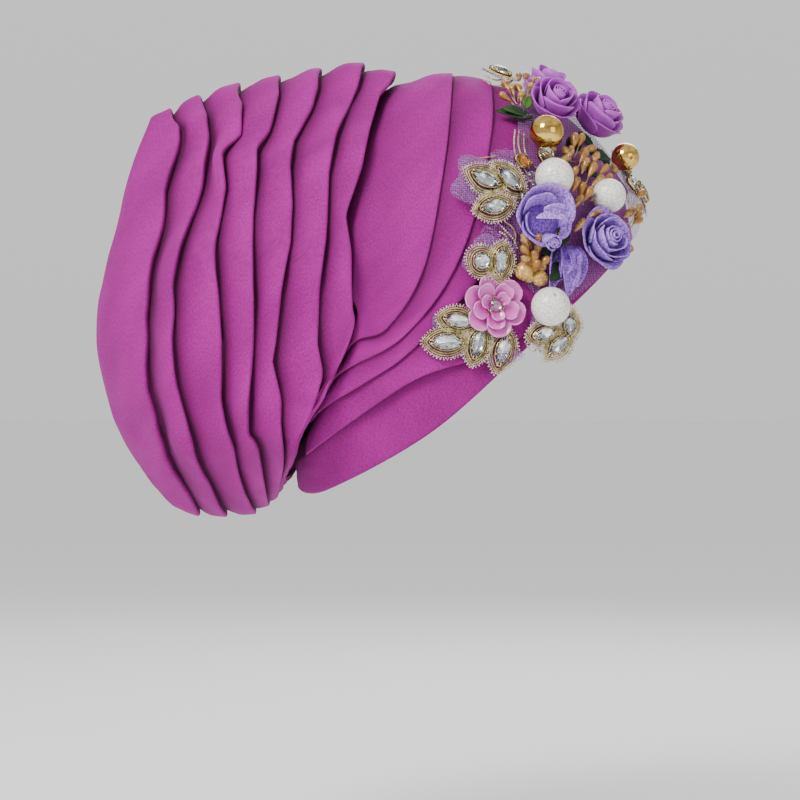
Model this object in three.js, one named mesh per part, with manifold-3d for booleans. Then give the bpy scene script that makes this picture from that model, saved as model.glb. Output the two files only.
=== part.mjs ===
// Turban cap with a slouched, pleated back and a flower and stone trim on its right front.
// Millimetres. +X is forward, +Z is up, and the wearer's right side is at -Y.
import * as THREE from "three";
import Module from "manifold-3d";

const wasm = await Module();
wasm.setup();

// Driving sizes
const cap_long = 300;
const cap_tall = 240;
const cap_wide = 188;
const cloth_thick = 2.0;
const fold_height = 4.4;
const tuck_height = 3.4;
const fold_lap = 3.4;
const band_lap = 2;
const layer_gap = 1.2;
const seam_drop = 4.0;
const piece_gap = 0.35;
const plate_clear = 3;
const clear_height = 45;
const net_thick = 1.0;
const lace_thick = 1.2;
const pearl_size = 20;
const gold_bead_size = 18;
const satin_rose_size = 28;
const chiffon_rose_size = 33;
const sequin_flower_size = 34;
const stone_size = 18;
const pip_size = 9;

// Mesh fineness
const side_steps = 16;
const crown_steps = 15;
const ribbon_steps = 3;
const bead_sides = 12;

// Share of each arch, from the middle of the top to the nape, that the tucked crown covers
const crown_reach = 0.825;

// Folds of the slouched back, from the rear ridge to the front seam.
// Each point is [forward, sideways, up] as shares of cap_long, half of cap_wide and cap_tall.
const BACK_FOLDS = [
  { name: "ridge", top: [-0.504, 0, -0.083], shoulder: [-0.537, 0.053, -0.204], side: [-0.592, 0.053, -0.473],
    hip: [-0.599, 0.053, -0.646], heel: [-0.549, 0.053, -0.834], base: [-0.464, 0, -0.974] },
  { name: "fold_1", top: [-0.468, 0, -0.074], shoulder: [-0.454, 0.404, -0.205], side: [-0.492, 0.66, -0.483],
    hip: [-0.494, 0.66, -0.688], heel: [-0.462, 0.511, -0.862], base: [-0.416, 0, -0.995] },
  { name: "fold_2", top: [-0.414, 0, -0.045], shoulder: [-0.391, 0.553, -0.21], side: [-0.443, 0.851, -0.486],
    hip: [-0.44, 0.83, -0.699], heel: [-0.406, 0.66, -0.861], base: [-0.365, 0, -0.997] },
  { name: "fold_3", top: [-0.342, 0, -0.02], shoulder: [-0.361, 0.66, -0.203], side: [-0.364, 0.957, -0.488],
    hip: [-0.359, 0.915, -0.71], heel: [-0.341, 0.745, -0.864], base: [-0.313, 0, -0.986] },
  { name: "fold_4", top: [-0.27, 0, 0.002], shoulder: [-0.3, 0.713, -0.215], side: [-0.302, 0.99, -0.489],
    hip: [-0.309, 0.968, -0.721], heel: [-0.295, 0.819, -0.851], base: [-0.288, 0, -0.968] },
  { name: "fold_5", top: [-0.196, 0, 0.016], shoulder: [-0.241, 0.745, -0.216], side: [-0.254, 1, -0.489],
    hip: [-0.262, 1, -0.7], heel: [-0.252, 0.885, -0.858], base: [-0.274, 0, -0.95] },
  { name: "fold_6", top: [-0.117, 0, 0.025], shoulder: [-0.171, 0.766, -0.206], side: [-0.189, 1, -0.489],
    hip: [-0.186, 1, -0.685], heel: [-0.236, 0.9, -0.846], base: [-0.263, 0, -0.929] },
  { name: "fold_7", top: [-0.061, 0, 0.007], shoulder: [-0.116, 0.766, -0.213], side: [-0.137, 0.995, -0.457],
    hip: [-0.132, 1.0, -0.584], heel: [-0.224, 0.885, -0.822], base: [-0.256, 0, -0.911] },
];

// Tucks of the crown, each an arch over the head, in the same shares.
const CROWN_TUCKS = [
  { name: "tuck_a", top: [0.04, 0, 0.005], shoulder: [0.025, 0.74, -0.194], side: [-0.013, 0.915, -0.447],
    hip: [-0.076, 0.92, -0.579], heel: [-0.152, 0.88, -0.632] },
  { name: "tuck_b", top: [0.11, 0, -0.014], shoulder: [0.1, 0.7, -0.191], side: [0.048, 0.894, -0.43],
    hip: [-0.047, 0.936, -0.596], heel: [-0.176, 0.87, -0.697] },
  { name: "tuck_c", top: [0.234, 0, -0.074], shoulder: [0.195, 0.68, -0.287], side: [0.065, 0.885, -0.497],
    hip: [-0.054, 0.926, -0.646], heel: [-0.2, 0.8, -0.765] },
];

// Upper and lower edge of the head band, from the forehead round to the nape.
const BAND_EDGES = [
  { name: "upper", top: [0.346, 0, -0.263], shoulder: [0.284, 0.56, -0.414], side: [0.14, 0.81, -0.609],
    hip: [-0.032, 0.883, -0.689], heel: [-0.2, 0.69, -0.836], base: [-0.241, 0, -0.875] },
  { name: "lower", top: [0.364, 0, -0.367], shoulder: [0.3, 0.56, -0.455], side: [0.158, 0.8, -0.622],
    hip: [-0.003, 0.862, -0.799], heel: [-0.183, 0.61, -0.925], base: [-0.238, 0, -0.925] },
];
const STATIONS = ["top", "shoulder", "side", "hip", "heel", "base"];

// Trim pieces stand on the crown. Across counts tucks from the seam (0) to the rim (5), along runs
// from the middle of the crown (0) towards the nape (1), turn is in degrees, and wide, long and
// high are shares of the size that each table names.

// Outline of the net that carries the flowers
const NET_OUTLINE = [
  { across: 2.35, along: 0.02 },
  { across: 2.4, along: 0.14 },
  { across: 2.45, along: 0.27 },
  { across: 3.1, along: 0.33 },
  { across: 4.0, along: 0.325 },
  { across: 4.75, along: 0.24 },
  { across: 4.8, along: 0.08 },
  { across: 4.5, along: -0.05 },
  { across: 3.5, along: -0.065 },
  { across: 2.75, along: -0.07 },
];

// Satin roses, shares of satin_rose_size
const SATIN_ROSES = [
  { name: "satin_rose_top", across: 2.72, along: -0.04, turn: 20, wide: 1, long: 0.9, high: 0.74 },
  { name: "satin_rose_rear", across: 2.78, along: 0.082, turn: 70, wide: 0.96, long: 0.9, high: 0.66 },
  { name: "satin_rose_front", across: 3.3, along: 0.02, turn: 140, wide: 0.98, long: 1, high: 0.7 },
];

// Chiffon roses, shares of chiffon_rose_size
const CHIFFON_ROSES = [
  { name: "chiffon_rose_rear", across: 3.1, along: 0.252, turn: 15, wide: 1.05, long: 0.9, high: 0.5 },
  { name: "chiffon_rose_front", across: 3.86, along: 0.2, turn: 60, wide: 0.86, long: 0.86, high: 0.5 },
  { name: "chiffon_bud", across: 3.68, along: 0.276, turn: -8, wide: 0.58, long: 0.88, high: 0.42 },
];

// Round beads, shares of the size in the row
const BEADS = [
  { name: "pearl_upper", size: pearl_size, across: 2.93, along: 0.197, wide: 1, look: "pearl" },
  { name: "pearl_front", size: pearl_size, across: 3.61, along: 0.146, wide: 0.9, look: "pearl" },
  { name: "pearl_lower", size: pearl_size, across: 3.85, along: 0.334, wide: 1, look: "pearl" },
  { name: "gold_bead_rear", size: gold_bead_size, across: 2.7, along: 0.142, wide: 1, look: "gold" },
  { name: "gold_bead_front", size: gold_bead_size, across: 3.68, along: 0.036, wide: 0.84, look: "gold" },
];

// Lace grounds, shares of stone_size
const LACE_GROUNDS = [
  { name: "lace_rear", across: 2.14, along: 0.27, turn: -20, wide: 2.1, long: 1.7, lobes: 5 },
  { name: "lace_middle", across: 2.83, along: 0.345, turn: 20, wide: 1.5, long: 1.15, lobes: 4 },
  { name: "lace_lower", across: 3.5, along: 0.46, turn: -8, wide: 2.2, long: 1.35, lobes: 5 },
  { name: "lace_rim", across: 5.4, along: 0.352, turn: 20, wide: 1.5, long: 1.25, lobes: 3, hangs: true },
  { name: "lace_front", across: 3.95, along: -0.005, turn: 90, wide: 1.5, long: 1.1, lobes: 4 },
  { name: "lace_top", across: 2.12, along: 0.02, turn: 90, wide: 1.3, long: 0.9, lobes: 3 },
];

// Cut stones, shares of stone_size
const STONES = [
  { name: "stone_rear_1", across: 1.99, along: 0.266, turn: -25, wide: 0.86, long: 0.44, shape: "marquise" },
  { name: "stone_rear_2", across: 2.42, along: 0.24, turn: -50, wide: 0.9, long: 0.44, shape: "marquise" },
  { name: "stone_rear_3", across: 2.36, along: 0.292, turn: 10, wide: 0.86, long: 0.42, shape: "marquise" },
  { name: "stone_middle", across: 3.05, along: 0.335, turn: 84, wide: 0.8, long: 0.36, shape: "marquise" },
  { name: "stone_round", across: 2.76, along: 0.362, turn: 0, wide: 0.5, long: 0.5, shape: "round" },
  { name: "stone_lower_1", across: 3.42, along: 0.502, turn: 0, wide: 0.96, long: 0.46, shape: "marquise" },
  { name: "stone_lower_2", across: 3.22, along: 0.456, turn: -12, wide: 0.86, long: 0.4, shape: "marquise" },
  { name: "stone_lower_3", across: 3.7, along: 0.458, turn: 74, wide: 0.86, long: 0.4, shape: "marquise" },
  { name: "stone_lower_4", across: 4.02, along: 0.43, turn: 70, wide: 0.9, long: 0.42, shape: "marquise" },
  { name: "stone_rim_1", across: 4.4, along: 0.362, turn: 10, wide: 0.74, long: 0.38, shape: "marquise" },
  { name: "stone_rim_2", across: 6.7, along: 0.37, turn: 44, wide: 0.8, long: 0.38, shape: "marquise" },
  { name: "stone_rim_3", across: 6.0, along: 0.33, turn: 84, wide: 0.66, long: 0.36, shape: "marquise" },
  { name: "stone_top", across: 2.1, along: 0.02, turn: 80, wide: 0.84, long: 0.42, shape: "marquise" },
  { name: "stone_front_1", across: 3.75, along: -0.01, turn: 90, wide: 0.6, long: 0.36, shape: "marquise" },
  { name: "stone_front_2", across: 4.1, along: 0.006, turn: 84, wide: 0.66, long: 0.38, shape: "marquise" },
  { name: "stone_amber", across: 2.53, along: 0.193, turn: 20, wide: 0.46, long: 0.46, shape: "square" },
];

// Sequin flower, shares of sequin_flower_size
const SEQUIN_FLOWER = { name: "sequin_flower", across: 3.4, along: 0.387, turn: 10, wide: 0.9, high: 0.26 };
const SEQUIN_CENTRE = { name: "sequin_centre", across: 3.4, along: 0.387, turn: 0, wide: 0.24 };

// Clusters of dipped stamen pips, shares of pip_size
const PIP_CLUSTERS = [
  { name: "pips_top", across: 2.3, along: 0.082, turn: 60, pips: 5, spread: 0.8 },
  { name: "pips_brow", across: 3.3, along: 0.1, turn: 250, pips: 5, spread: 0.7 },
  { name: "pips_front", across: 4.25, along: 0.075, turn: 20, pips: 5, spread: 0.8 },
  { name: "pips_lower", across: 3.25, along: 0.318, turn: 190, pips: 5, spread: 0.75 },
  { name: "pips_rim", across: 4.7, along: 0.135, turn: 300, pips: 3, spread: 0.7 },
];
// Pips of one cluster: lean in degrees from upright, size as a share of pip_size
const PIPS = [
  { lean: 20, size: 1.1 },
  { lean: 58, size: 1 },
  { lean: 66, size: 0.9 },
  { lean: 54, size: 1.05 },
  { lean: 68, size: 0.9 },
  { lean: 60, size: 1 },
];

// Leaves, shares of stone_size
const LEAVES = [
  { name: "leaf_top", across: 2.34, along: 0.118, turn: 172, wide: 1.15, long: 0.5 },
  { name: "leaf_brow", across: 3.3, along: 0.072, turn: -60, wide: 0.7, long: 0.4 },
];

// Rings of a rose from the bud outwards: reach is a share of the radius, rise of the height
const ROSE_RINGS = [
  { reach: 0, rise: 0.82, petals: 0 },
  { reach: 0.17, rise: 0.98, petals: 0 },
  { reach: 0.25, rise: 0.8, petals: 3 },
  { reach: 0.46, rise: 0.94, petals: 3 },
  { reach: 0.53, rise: 0.62, petals: 4 },
  { reach: 0.76, rise: 0.74, petals: 4 },
  { reach: 0.84, rise: 0.4, petals: 5 },
  { reach: 1, rise: 0.44, petals: 5 },
  { reach: 0.8, rise: 0, petals: 5 },
];
const SEQUIN_RINGS = [
  { reach: 0, rise: 0.3, petals: 0 },
  { reach: 0.3, rise: 0.3, petals: 0 },
  { reach: 0.66, rise: 0.62, petals: 6 },
  { reach: 1, rise: 1, petals: 6 },
  { reach: 0.97, rise: 0.84, petals: 6 },
  { reach: 0.5, rise: 0.3, petals: 6 },
  { reach: 0.2, rise: 0, petals: 0 },
];
const PIP_RINGS = [
  { reach: 0.36, rise: 0 },
  { reach: 1, rise: 0.74 },
  { reach: 0.6, rise: 0.96 },
];

const COLOURS = {
  cloth: 0x9c2f8a,
  net: 0xb7a3c4,
  lace: 0xcabf98,
  satin: 0xb45fc6,
  chiffon: 0x8e72c9,
  sequin: 0xe58ad0,
  pearl: 0xe9e6dc,
  gold: 0xc49a45,
  stone: 0xdfe9ee,
  amber: 0xcf8324,
  pip: 0xb98a4c,
  leaf: 0x2e4a2c,
};

const root = new THREE.Group();

function addNode(name, geometry, colour, roughness = 0.8, metalness = 0) {
  const material = new THREE.MeshStandardMaterial({ color: COLOURS[colour], roughness, metalness });
  const mesh = new THREE.Mesh(geometry, material);
  mesh.name = name;
  root.add(mesh);
  return mesh;
}

function geometryFrom(points, faces) {
  const flat = new Float32Array(points.length * 3);
  points.forEach((p, i) => flat.set([p.x, p.y, p.z], i * 3));
  const geometry = new THREE.BufferGeometry();
  geometry.setAttribute("position", new THREE.BufferAttribute(flat, 3));
  geometry.setIndex(faces);
  return geometry;
}

function placed(row, station) {
  const p = row[station];
  return new THREE.Vector3(p[0] * cap_long, (-p[1] * cap_wide) / 2, p[2] * cap_tall);
}

function mirrored(p) {
  return new THREE.Vector3(p.x, -p.y, p.z);
}

function spline(a, b, c, d, t) {
  const t2 = t * t;
  const t3 = t2 * t;
  const out = new THREE.Vector3();
  out.addScaledVector(a, -0.5 * t + t2 - 0.5 * t3);
  out.addScaledVector(b, 1 - 2.5 * t2 + 1.5 * t3);
  out.addScaledVector(c, 0.5 * t + 2 * t2 - 1.5 * t3);
  out.addScaledVector(d, -0.5 * t2 + 0.5 * t3);
  return out;
}

// A point on one ring, u from 0 at the middle of the top to 1 at the last station.
function alongRow(points, u, closed) {
  const last = points.length - 1;
  const place = Math.min(Math.max(u * last, 0), last + 0.5);
  const i = Math.min(Math.floor(place), last - 1);
  const t = place - i;
  const before = i === 0 ? mirrored(points[1]) : points[i - 1];
  const beyond = points[last].clone().multiplyScalar(2).sub(points[last - 1]);
  const after = i + 2 <= last ? points[i + 2] : closed ? mirrored(points[last - 1]) : beyond;
  if (t > 1) return points[last].clone().lerp(beyond, t - 1);
  return spline(before, points[i], points[i + 1], after, t);
}

// A point between rings, k counts rings from 0.
function acrossRows(rowAt, count, k, roundStart) {
  const top = count - 1;
  const place = Math.min(Math.max(k, -0.9), top + 3);
  const i = Math.min(Math.max(Math.floor(place), 0), top - 1);
  const t = place - i;
  const b = rowAt(i);
  const c = rowAt(i + 1);
  const straight = b.clone().multiplyScalar(2).sub(c);
  const a = i > 0 ? rowAt(i - 1) : roundStart ? mirrored(c) : straight;
  const d = i + 2 <= top ? rowAt(i + 2) : c.clone().multiplyScalar(2).sub(b);
  if (t < 0) return b.clone().addScaledVector(c.clone().sub(b), t);
  if (t > 1) return c.clone().addScaledVector(c.clone().sub(b), t - 1);
  return spline(a, b, c, d, t);
}

// A smooth surface from rings; v runs from -1 (left) through 0 (middle) to 1 (right).
function surfaceOf(rows, closed, roundStart) {
  const at = (k, v) => {
    const p = acrossRows((i) => alongRow(rows[i], Math.abs(v), closed), rows.length, k, roundStart);
    return v < 0 ? mirrored(p) : p;
  };
  const normal = (k, v) => {
    const e = 0.01;
    const side = v < 0 ? -1 : 1;
    const w = Math.abs(v);
    const lo = closed && w < 2 * e ? 0 : w - e;
    const p1 = lo <= 0 ? mirrored(at(k, e)) : at(k, lo);
    const hi = closed ? Math.min(w + e, 1) : w + e;
    const p2 = closed && w > 1 - 2 * e ? mirrored(at(k, 1 - e)) : at(k, hi);
    const start = lo <= 0 ? p1 : closed && w > 1 - 2 * e ? at(k, 1 - e) : p1;
    const du = p2.clone().sub(start);
    const dk = at(k + e, w).sub(at(k - e, w));
    const n = new THREE.Vector3().crossVectors(du, dk).normalize();
    if (w < 1e-6 || (closed && w > 1 - 1e-6)) n.setY(0).normalize();
    if (side < 0) n.y = -n.y;
    return n;
  };
  return { at, normal, count: rows.length };
}

const backRows = BACK_FOLDS.map((row) => STATIONS.map((s) => placed(row, s)));
const backSurface = surfaceOf(backRows, true, true);
const bandRows = BAND_EDGES.map((row) => STATIONS.map((s) => placed(row, s)));
const bandSurface = surfaceOf(bandRows, true);

// The crown starts under the front fold of the back and ends over the head band.
function crownRows() {
  const under = cloth_thick + seam_drop;
  const over = cloth_thick + layer_gap;
  const first = STATIONS.map((_, i) => {
    const u = i * 0.15;
    return backSurface.at(7, u).addScaledVector(backSurface.normal(7, u), -under);
  });
  const edge = (k, out) =>
    STATIONS.map((_, i) => {
      const u = i / 5;
      return bandSurface.at(k, u).addScaledVector(bandSurface.normal(k, u), out);
    });
  const ends = STATIONS.slice(0, 5);
  const tucks = CROWN_TUCKS.map((row) => [...ends.map((s) => placed(row, s)), edge(0, 0)[5]]);
  return [first, ...tucks, edge(0, over), edge(1, cloth_thick)];
}
const crownSurface = surfaceOf(crownRows(), true);

// Rows of a pleated sheet: each fold rises from its groove to its edge, then steps down.
function pleatRows(surface, first, last, height, startLap, startDrop) {
  const rows = [];
  for (let fold = first + 1; fold <= last; fold += 1) {
    for (let i = 0; i <= ribbon_steps; i += 1) {
      const part = i / ribbon_steps;
      rows.push({ fold, part, height, startLap: fold === first + 1 ? startLap : 0, startDrop });
    }
  }
  return rows.map((row) => ({
    ...row,
    place(v, inner) {
      const whole = surface.at(row.fold, v).distanceTo(surface.at(row.fold - 1, v));
      const rise = Math.min(row.height, 0.34 * whole);
      const back = row.startLap ? -row.startLap / whole : 0.02;
      const start = back + (1 - back) * row.part;
      const isFirst = row.fold === first + 1;
      const groove = isFirst ? row.startDrop : 1;
      const level = -rise * groove * (1 - Math.sin((row.part * Math.PI) / 2));
      let k = row.fold - 1 + start;
      const tip = row.part === 0 || row.part === 1;
      if (inner && tip && !(isFirst && row.part === 0)) k -= Math.min(cloth_thick / whole, 0.3);
      const depth = inner ? cloth_thick : 0;
      return surface.at(k, v).addScaledVector(surface.normal(Math.min(k, last), v), level - depth);
    },
  }));
}

// Joins an outer and an inner grid of points into one closed shell.
function shellFrom(rows, columns, options) {
  const points = [];
  const faces = [];
  const wide = columns.length;
  rows.forEach((row) => columns.forEach((v) => points.push(row.place(v, false))));
  rows.forEach((row) => columns.forEach((v) => points.push(row.place(v, true))));
  const offset = rows.length * wide;
  const quad = (a, b, c, d) => faces.push(a, b, c, a, c, d);
  const spans = options.loop ? wide : wide - 1;
  for (let r = 0; r < rows.length - 1; r += 1) {
    for (let c = 0; c < spans; c += 1) {
      const a = r * wide + c;
      const b = r * wide + ((c + 1) % wide);
      const d = a + wide;
      const e = b + wide;
      quad(a, b, e, d);
      quad(offset + a, offset + d, offset + e, offset + b);
    }
  }
  const lastRow = (rows.length - 1) * wide;
  for (let c = 0; c < spans; c += 1) {
    const n = (c + 1) % wide;
    quad(lastRow + c, lastRow + n, offset + lastRow + n, offset + lastRow + c);
    if (!options.closedStart) quad(n, c, offset + c, offset + n);
  }
  if (!options.loop) {
    for (let r = 0; r < rows.length - 1; r += 1) {
      const a = r * wide;
      const b = a + wide;
      quad(a, b, offset + b, offset + a);
      const c = a + wide - 1;
      const d = c + wide;
      quad(d, c, offset + c, offset + d);
    }
  }
  if (options.closedStart) {
    const half = wide / 2;
    for (let c = 0; c < half; c += 1) {
      const a = c;
      const b = c + 1;
      const d = (wide - c) % wide;
      const e = (wide - c - 1) % wide;
      if (a === d) {
        faces.push(a, e, b);
        faces.push(offset + a, offset + b, offset + e);
      } else if (b === e) {
        faces.push(a, d, b);
        faces.push(offset + a, offset + b, offset + d);
      } else {
        quad(a, d, e, b);
        quad(offset + a, offset + b, offset + e, offset + d);
      }
    }
  }
  return geometryFrom(points, faces);
}

// Columns of a closed ring: down the right side to the base, then up the left side.
function ringColumns(steps) {
  const columns = [];
  for (let i = 0; i <= steps; i += 1) columns.push(i / steps);
  for (let i = steps - 1; i > 0; i -= 1) columns.push(-i / steps);
  return columns;
}

function archColumns(steps, reach) {
  const columns = [];
  for (let i = -steps; i <= steps; i += 1) columns.push((-i / steps) * reach);
  return columns.reverse();
}

function makeBack() {
  const rows = pleatRows(backSurface, 0, 7, fold_height, 0, 0);
  return shellFrom(rows, ringColumns(side_steps), { loop: true, closedStart: true });
}

const crownPleats = pleatRows(crownSurface, 0, 4, tuck_height, fold_lap, 0.9);

function makeCrown() {
  return shellFrom(crownPleats, archColumns(crown_steps, crown_reach), { loop: false });
}

// Height of the crown's inside, where the head bears, over the middle of the cap.
function seatHeight() {
  const inside = crownPleats.map((row) => row.place(0, true));
  const i = inside.findIndex((p, j) => j > 0 && inside[j - 1].x <= 0 && p.x > 0);
  const a = inside[i - 1];
  const b = inside[i];
  return a.z + ((b.z - a.z) * -a.x) / (b.x - a.x);
}

function makeBand() {
  const levels = [-1, 0, 0.5, 1];
  const rows = levels.map((level) => ({
    place(v, inner) {
      const tall = bandSurface.at(1, v).distanceTo(bandSurface.at(0, v));
      const k = level < 0 ? -Math.min(band_lap / tall, 0.4) : level;
      const depth = (level < 0 ? layer_gap / 2 : 0) + (inner ? cloth_thick : 0);
      return bandSurface.at(k, v).addScaledVector(bandSurface.normal(Math.max(k, 0), v), -depth);
    },
  }));
  return shellFrom(rows, ringColumns(side_steps), { loop: true });
}

// A frame on the crown: z out of the cloth, x to the viewer's right, y up.
function frameOn(across, along, lift, turn) {
  const n = crownSurface.normal(across, along);
  const up = new THREE.Vector3(0, 0, 1);
  const x = new THREE.Vector3().crossVectors(up, n).normalize();
  const y = new THREE.Vector3().crossVectors(n, x);
  const p = crownSurface.at(across, along).addScaledVector(n, lift);
  const matrix = new THREE.Matrix4().makeBasis(x, y, n).setPosition(p);
  return matrix.multiply(new THREE.Matrix4().makeRotationZ((turn * Math.PI) / 180));
}

// Finds the place on the crown that lies a, b millimetres from a start, as seen from outside.
function settle(across, along, turn, a, b) {
  const frame = frameOn(across, along, 0, turn);
  const target = new THREE.Vector3(a, b, 0).applyMatrix4(frame);
  const x = new THREE.Vector3().setFromMatrixColumn(frame, 0);
  const y = new THREE.Vector3().setFromMatrixColumn(frame, 1);
  const e = 0.01;
  let k = across;
  let v = along;
  for (let i = 0; i < 6; i += 1) {
    const p = crownSurface.at(k, v);
    const pk = crownSurface.at(k + e, v).sub(p).divideScalar(e);
    const pv = crownSurface.at(k, v + e).sub(p).divideScalar(e);
    const d = target.clone().sub(p);
    const det = pk.dot(x) * pv.dot(y) - pv.dot(x) * pk.dot(y);
    k += (d.dot(x) * pv.dot(y) - pv.dot(x) * d.dot(y)) / det;
    v += (pk.dot(x) * d.dot(y) - d.dot(x) * pk.dot(y)) / det;
  }
  return { k, v };
}

// A thin plate that lies on the crown, from a centre and rings of places.
function plateOn(places, centre, rings, lift, thick) {
  const points = [];
  const faces = [];
  const n = places.length;
  const put = (k, v, level) => {
    points.push(crownSurface.at(k, v).addScaledVector(crownSurface.normal(k, v), level));
  };
  [lift + thick, lift].forEach((level) => {
    put(centre.k, centre.v, level);
    rings.forEach((r) => {
      places.forEach((q) => put(centre.k + (q.k - centre.k) * r, centre.v + (q.v - centre.v) * r, level));
    });
  });
  const layer = 1 + rings.length * n;
  for (let i = 0; i < n; i += 1) {
    const j = (i + 1) % n;
    faces.push(0, 1 + i, 1 + j);
    faces.push(layer, layer + 1 + j, layer + 1 + i);
    for (let r = 0; r < rings.length - 1; r += 1) {
      const a = 1 + r * n + i;
      const b = 1 + r * n + j;
      faces.push(a, a + n, b + n, a, b + n, b);
      faces.push(layer + a, layer + b, layer + b + n, layer + a, layer + b + n, layer + a + n);
    }
    const a = 1 + (rings.length - 1) * n + i;
    const b = 1 + (rings.length - 1) * n + j;
    faces.push(a, layer + a, layer + b, a, layer + b, b);
  }
  return facedOut(geometryFrom(points, faces));
}

// Turns a closed geometry so that its faces point outwards.
function facedOut(geometry) {
  const p = geometry.getAttribute("position");
  const index = Array.from(geometry.index.array);
  const v = (i) => new THREE.Vector3().fromBufferAttribute(p, index[i]);
  let volume = 0;
  for (let i = 0; i < index.length; i += 3) volume += v(i).dot(v(i + 1).cross(v(i + 2)));
  if (volume < 0) {
    for (let i = 0; i < index.length; i += 3) [index[i + 1], index[i + 2]] = [index[i + 2], index[i + 1]];
    geometry.setIndex(index);
  }
  return geometry;
}

// A closed solid from rings about an upright axis, with a flat or pointed end at each side.
function turnedSolid(rings, sides, radiusAt) {
  const points = [];
  const faces = [];
  const starts = [];
  rings.forEach((ring) => {
    starts.push(points.length);
    if (ring.reach === 0) points.push(new THREE.Vector3(0, 0, ring.rise));
    else {
      for (let i = 0; i < sides; i += 1) {
        const angle = (i / sides) * Math.PI * 2;
        const r = radiusAt(ring, angle);
        points.push(new THREE.Vector3(Math.cos(angle) * r.x, Math.sin(angle) * r.y, ring.rise));
      }
    }
  });
  const cap = (centre, start) => {
    for (let i = 0; i < sides; i += 1) faces.push(centre, start + i, start + ((i + 1) % sides));
  };
  const flip = () => {
    for (let i = faces.length - sides * 3; i < faces.length; i += 3) {
      [faces[i + 1], faces[i + 2]] = [faces[i + 2], faces[i + 1]];
    }
  };
  const first = rings[0].reach === 0 ? 1 : 0;
  const last = rings[rings.length - 1].reach === 0 ? rings.length - 2 : rings.length - 1;
  if (first === 0) points.push(new THREE.Vector3(0, 0, rings[0].rise));
  cap(first === 0 ? points.length - 1 : starts[0], starts[first]);
  for (let r = first; r < last; r += 1) {
    for (let i = 0; i < sides; i += 1) {
      const a = starts[r] + i;
      const b = starts[r] + ((i + 1) % sides);
      const c = starts[r + 1] + i;
      const d = starts[r + 1] + ((i + 1) % sides);
      faces.push(a, c, d, a, d, b);
    }
  }
  const closing = last === rings.length - 1;
  if (closing) points.push(new THREE.Vector3(0, 0, rings[last].rise));
  cap(closing ? points.length - 1 : starts[last + 1], starts[last]);
  flip();
  return facedOut(geometryFrom(points, faces));
}

function makeBlossom(rings, sides, wide, long, high, ripple) {
  const scaled = rings.map((ring) => ({ ...ring, rise: ring.rise * high }));
  return turnedSolid(scaled, sides, (ring, angle) => {
    const r = 0.5 * ring.reach * (1 + ripple * Math.cos(ring.petals * angle + ring.petals));
    return { x: r * wide, y: r * long };
  });
}

function makeBead(size) {
  const rings = [];
  const steps = bead_sides / 2;
  for (let i = 0; i <= steps; i += 1) {
    const angle = (i / steps) * Math.PI;
    const reach = i === 0 || i === steps ? 0 : Math.sin(angle);
    rings.push({ reach, rise: (Math.cos(angle) * size) / 2 });
  }
  return turnedSolid(rings, bead_sides, (ring) => ({ x: (ring.reach * size) / 2, y: (ring.reach * size) / 2 }));
}

// A cut stone: table, eight crown facets or more, girdle and a flat foiled back.
function makeStone(shape, wide, long) {
  const high = Math.min(wide, long) * 0.46;
  const sides = 8;
  const outline = (angle) => {
    if (shape === "round") return 1;
    if (shape === "square") return Math.abs(Math.cos(2 * angle)) > 0.5 ? 0.86 : 1.12;
    return Math.abs(Math.sin(angle)) < 0.1 ? 1 : Math.abs(Math.cos(angle)) < 0.1 ? 1 : 0.84;
  };
  const rings = [
    { reach: 0.56, rise: high },
    { reach: 1, rise: high * 0.42 },
    { reach: 0.8, rise: 0 },
  ];
  return turnedSolid(rings, sides, (ring, angle) => {
    const r = 0.5 * ring.reach * outline(angle);
    return { x: r * wide, y: r * long };
  });
}

function toManifold(geometry) {
  return new wasm.Manifold(
    new wasm.Mesh({
      numProp: 3,
      vertProperties: new Float32Array(geometry.getAttribute("position").array),
      triVerts: new Uint32Array(geometry.index.array),
    })
  );
}

function fromManifold(solid) {
  const bodies = solid.decompose();
  const largest = bodies.reduce((a, b) => (b.volume() > a.volume() ? b : a));
  const mesh = largest.getMesh();
  const geometry = new THREE.BufferGeometry();
  const points = new Float32Array(mesh.numVert * 3);
  for (let i = 0; i < mesh.numVert; i += 1) {
    points.set(mesh.vertProperties.subarray(i * mesh.numProp, i * mesh.numProp + 3), i * 3);
  }
  geometry.setAttribute("position", new THREE.BufferAttribute(points, 3));
  geometry.setIndex(Array.from(mesh.triVerts));
  return geometry;
}

function makePips(count, spread) {
  const solids = PIPS.slice(0, count).map((pip, i) => {
    const size = pip.size * pip_size;
    const rings = PIP_RINGS.map((ring) => ({ reach: ring.reach, rise: ring.rise * size }));
    const body = turnedSolid(rings, 5, (ring) => ({ x: ring.reach * size * 0.24, y: ring.reach * size * 0.24 }));
    const lean = new THREE.Matrix4().makeRotationX((-pip.lean * spread * Math.PI) / 180);
    const spin = new THREE.Matrix4().makeRotationZ((i * Math.PI * 2) / count);
    body.applyMatrix4(spin.multiply(lean));
    return toManifold(body);
  });
  const knotRings = [{ reach: 1, rise: 0.34, petals: 0 }, { reach: 1, rise: 0, petals: 0 }];
  const knot = makeBlossom(knotRings, 6, pip_size / 2, pip_size / 2, pip_size, 0);
  return fromManifold([...solids, toManifold(knot)].reduce((a, b) => a.add(b)));
}

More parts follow.
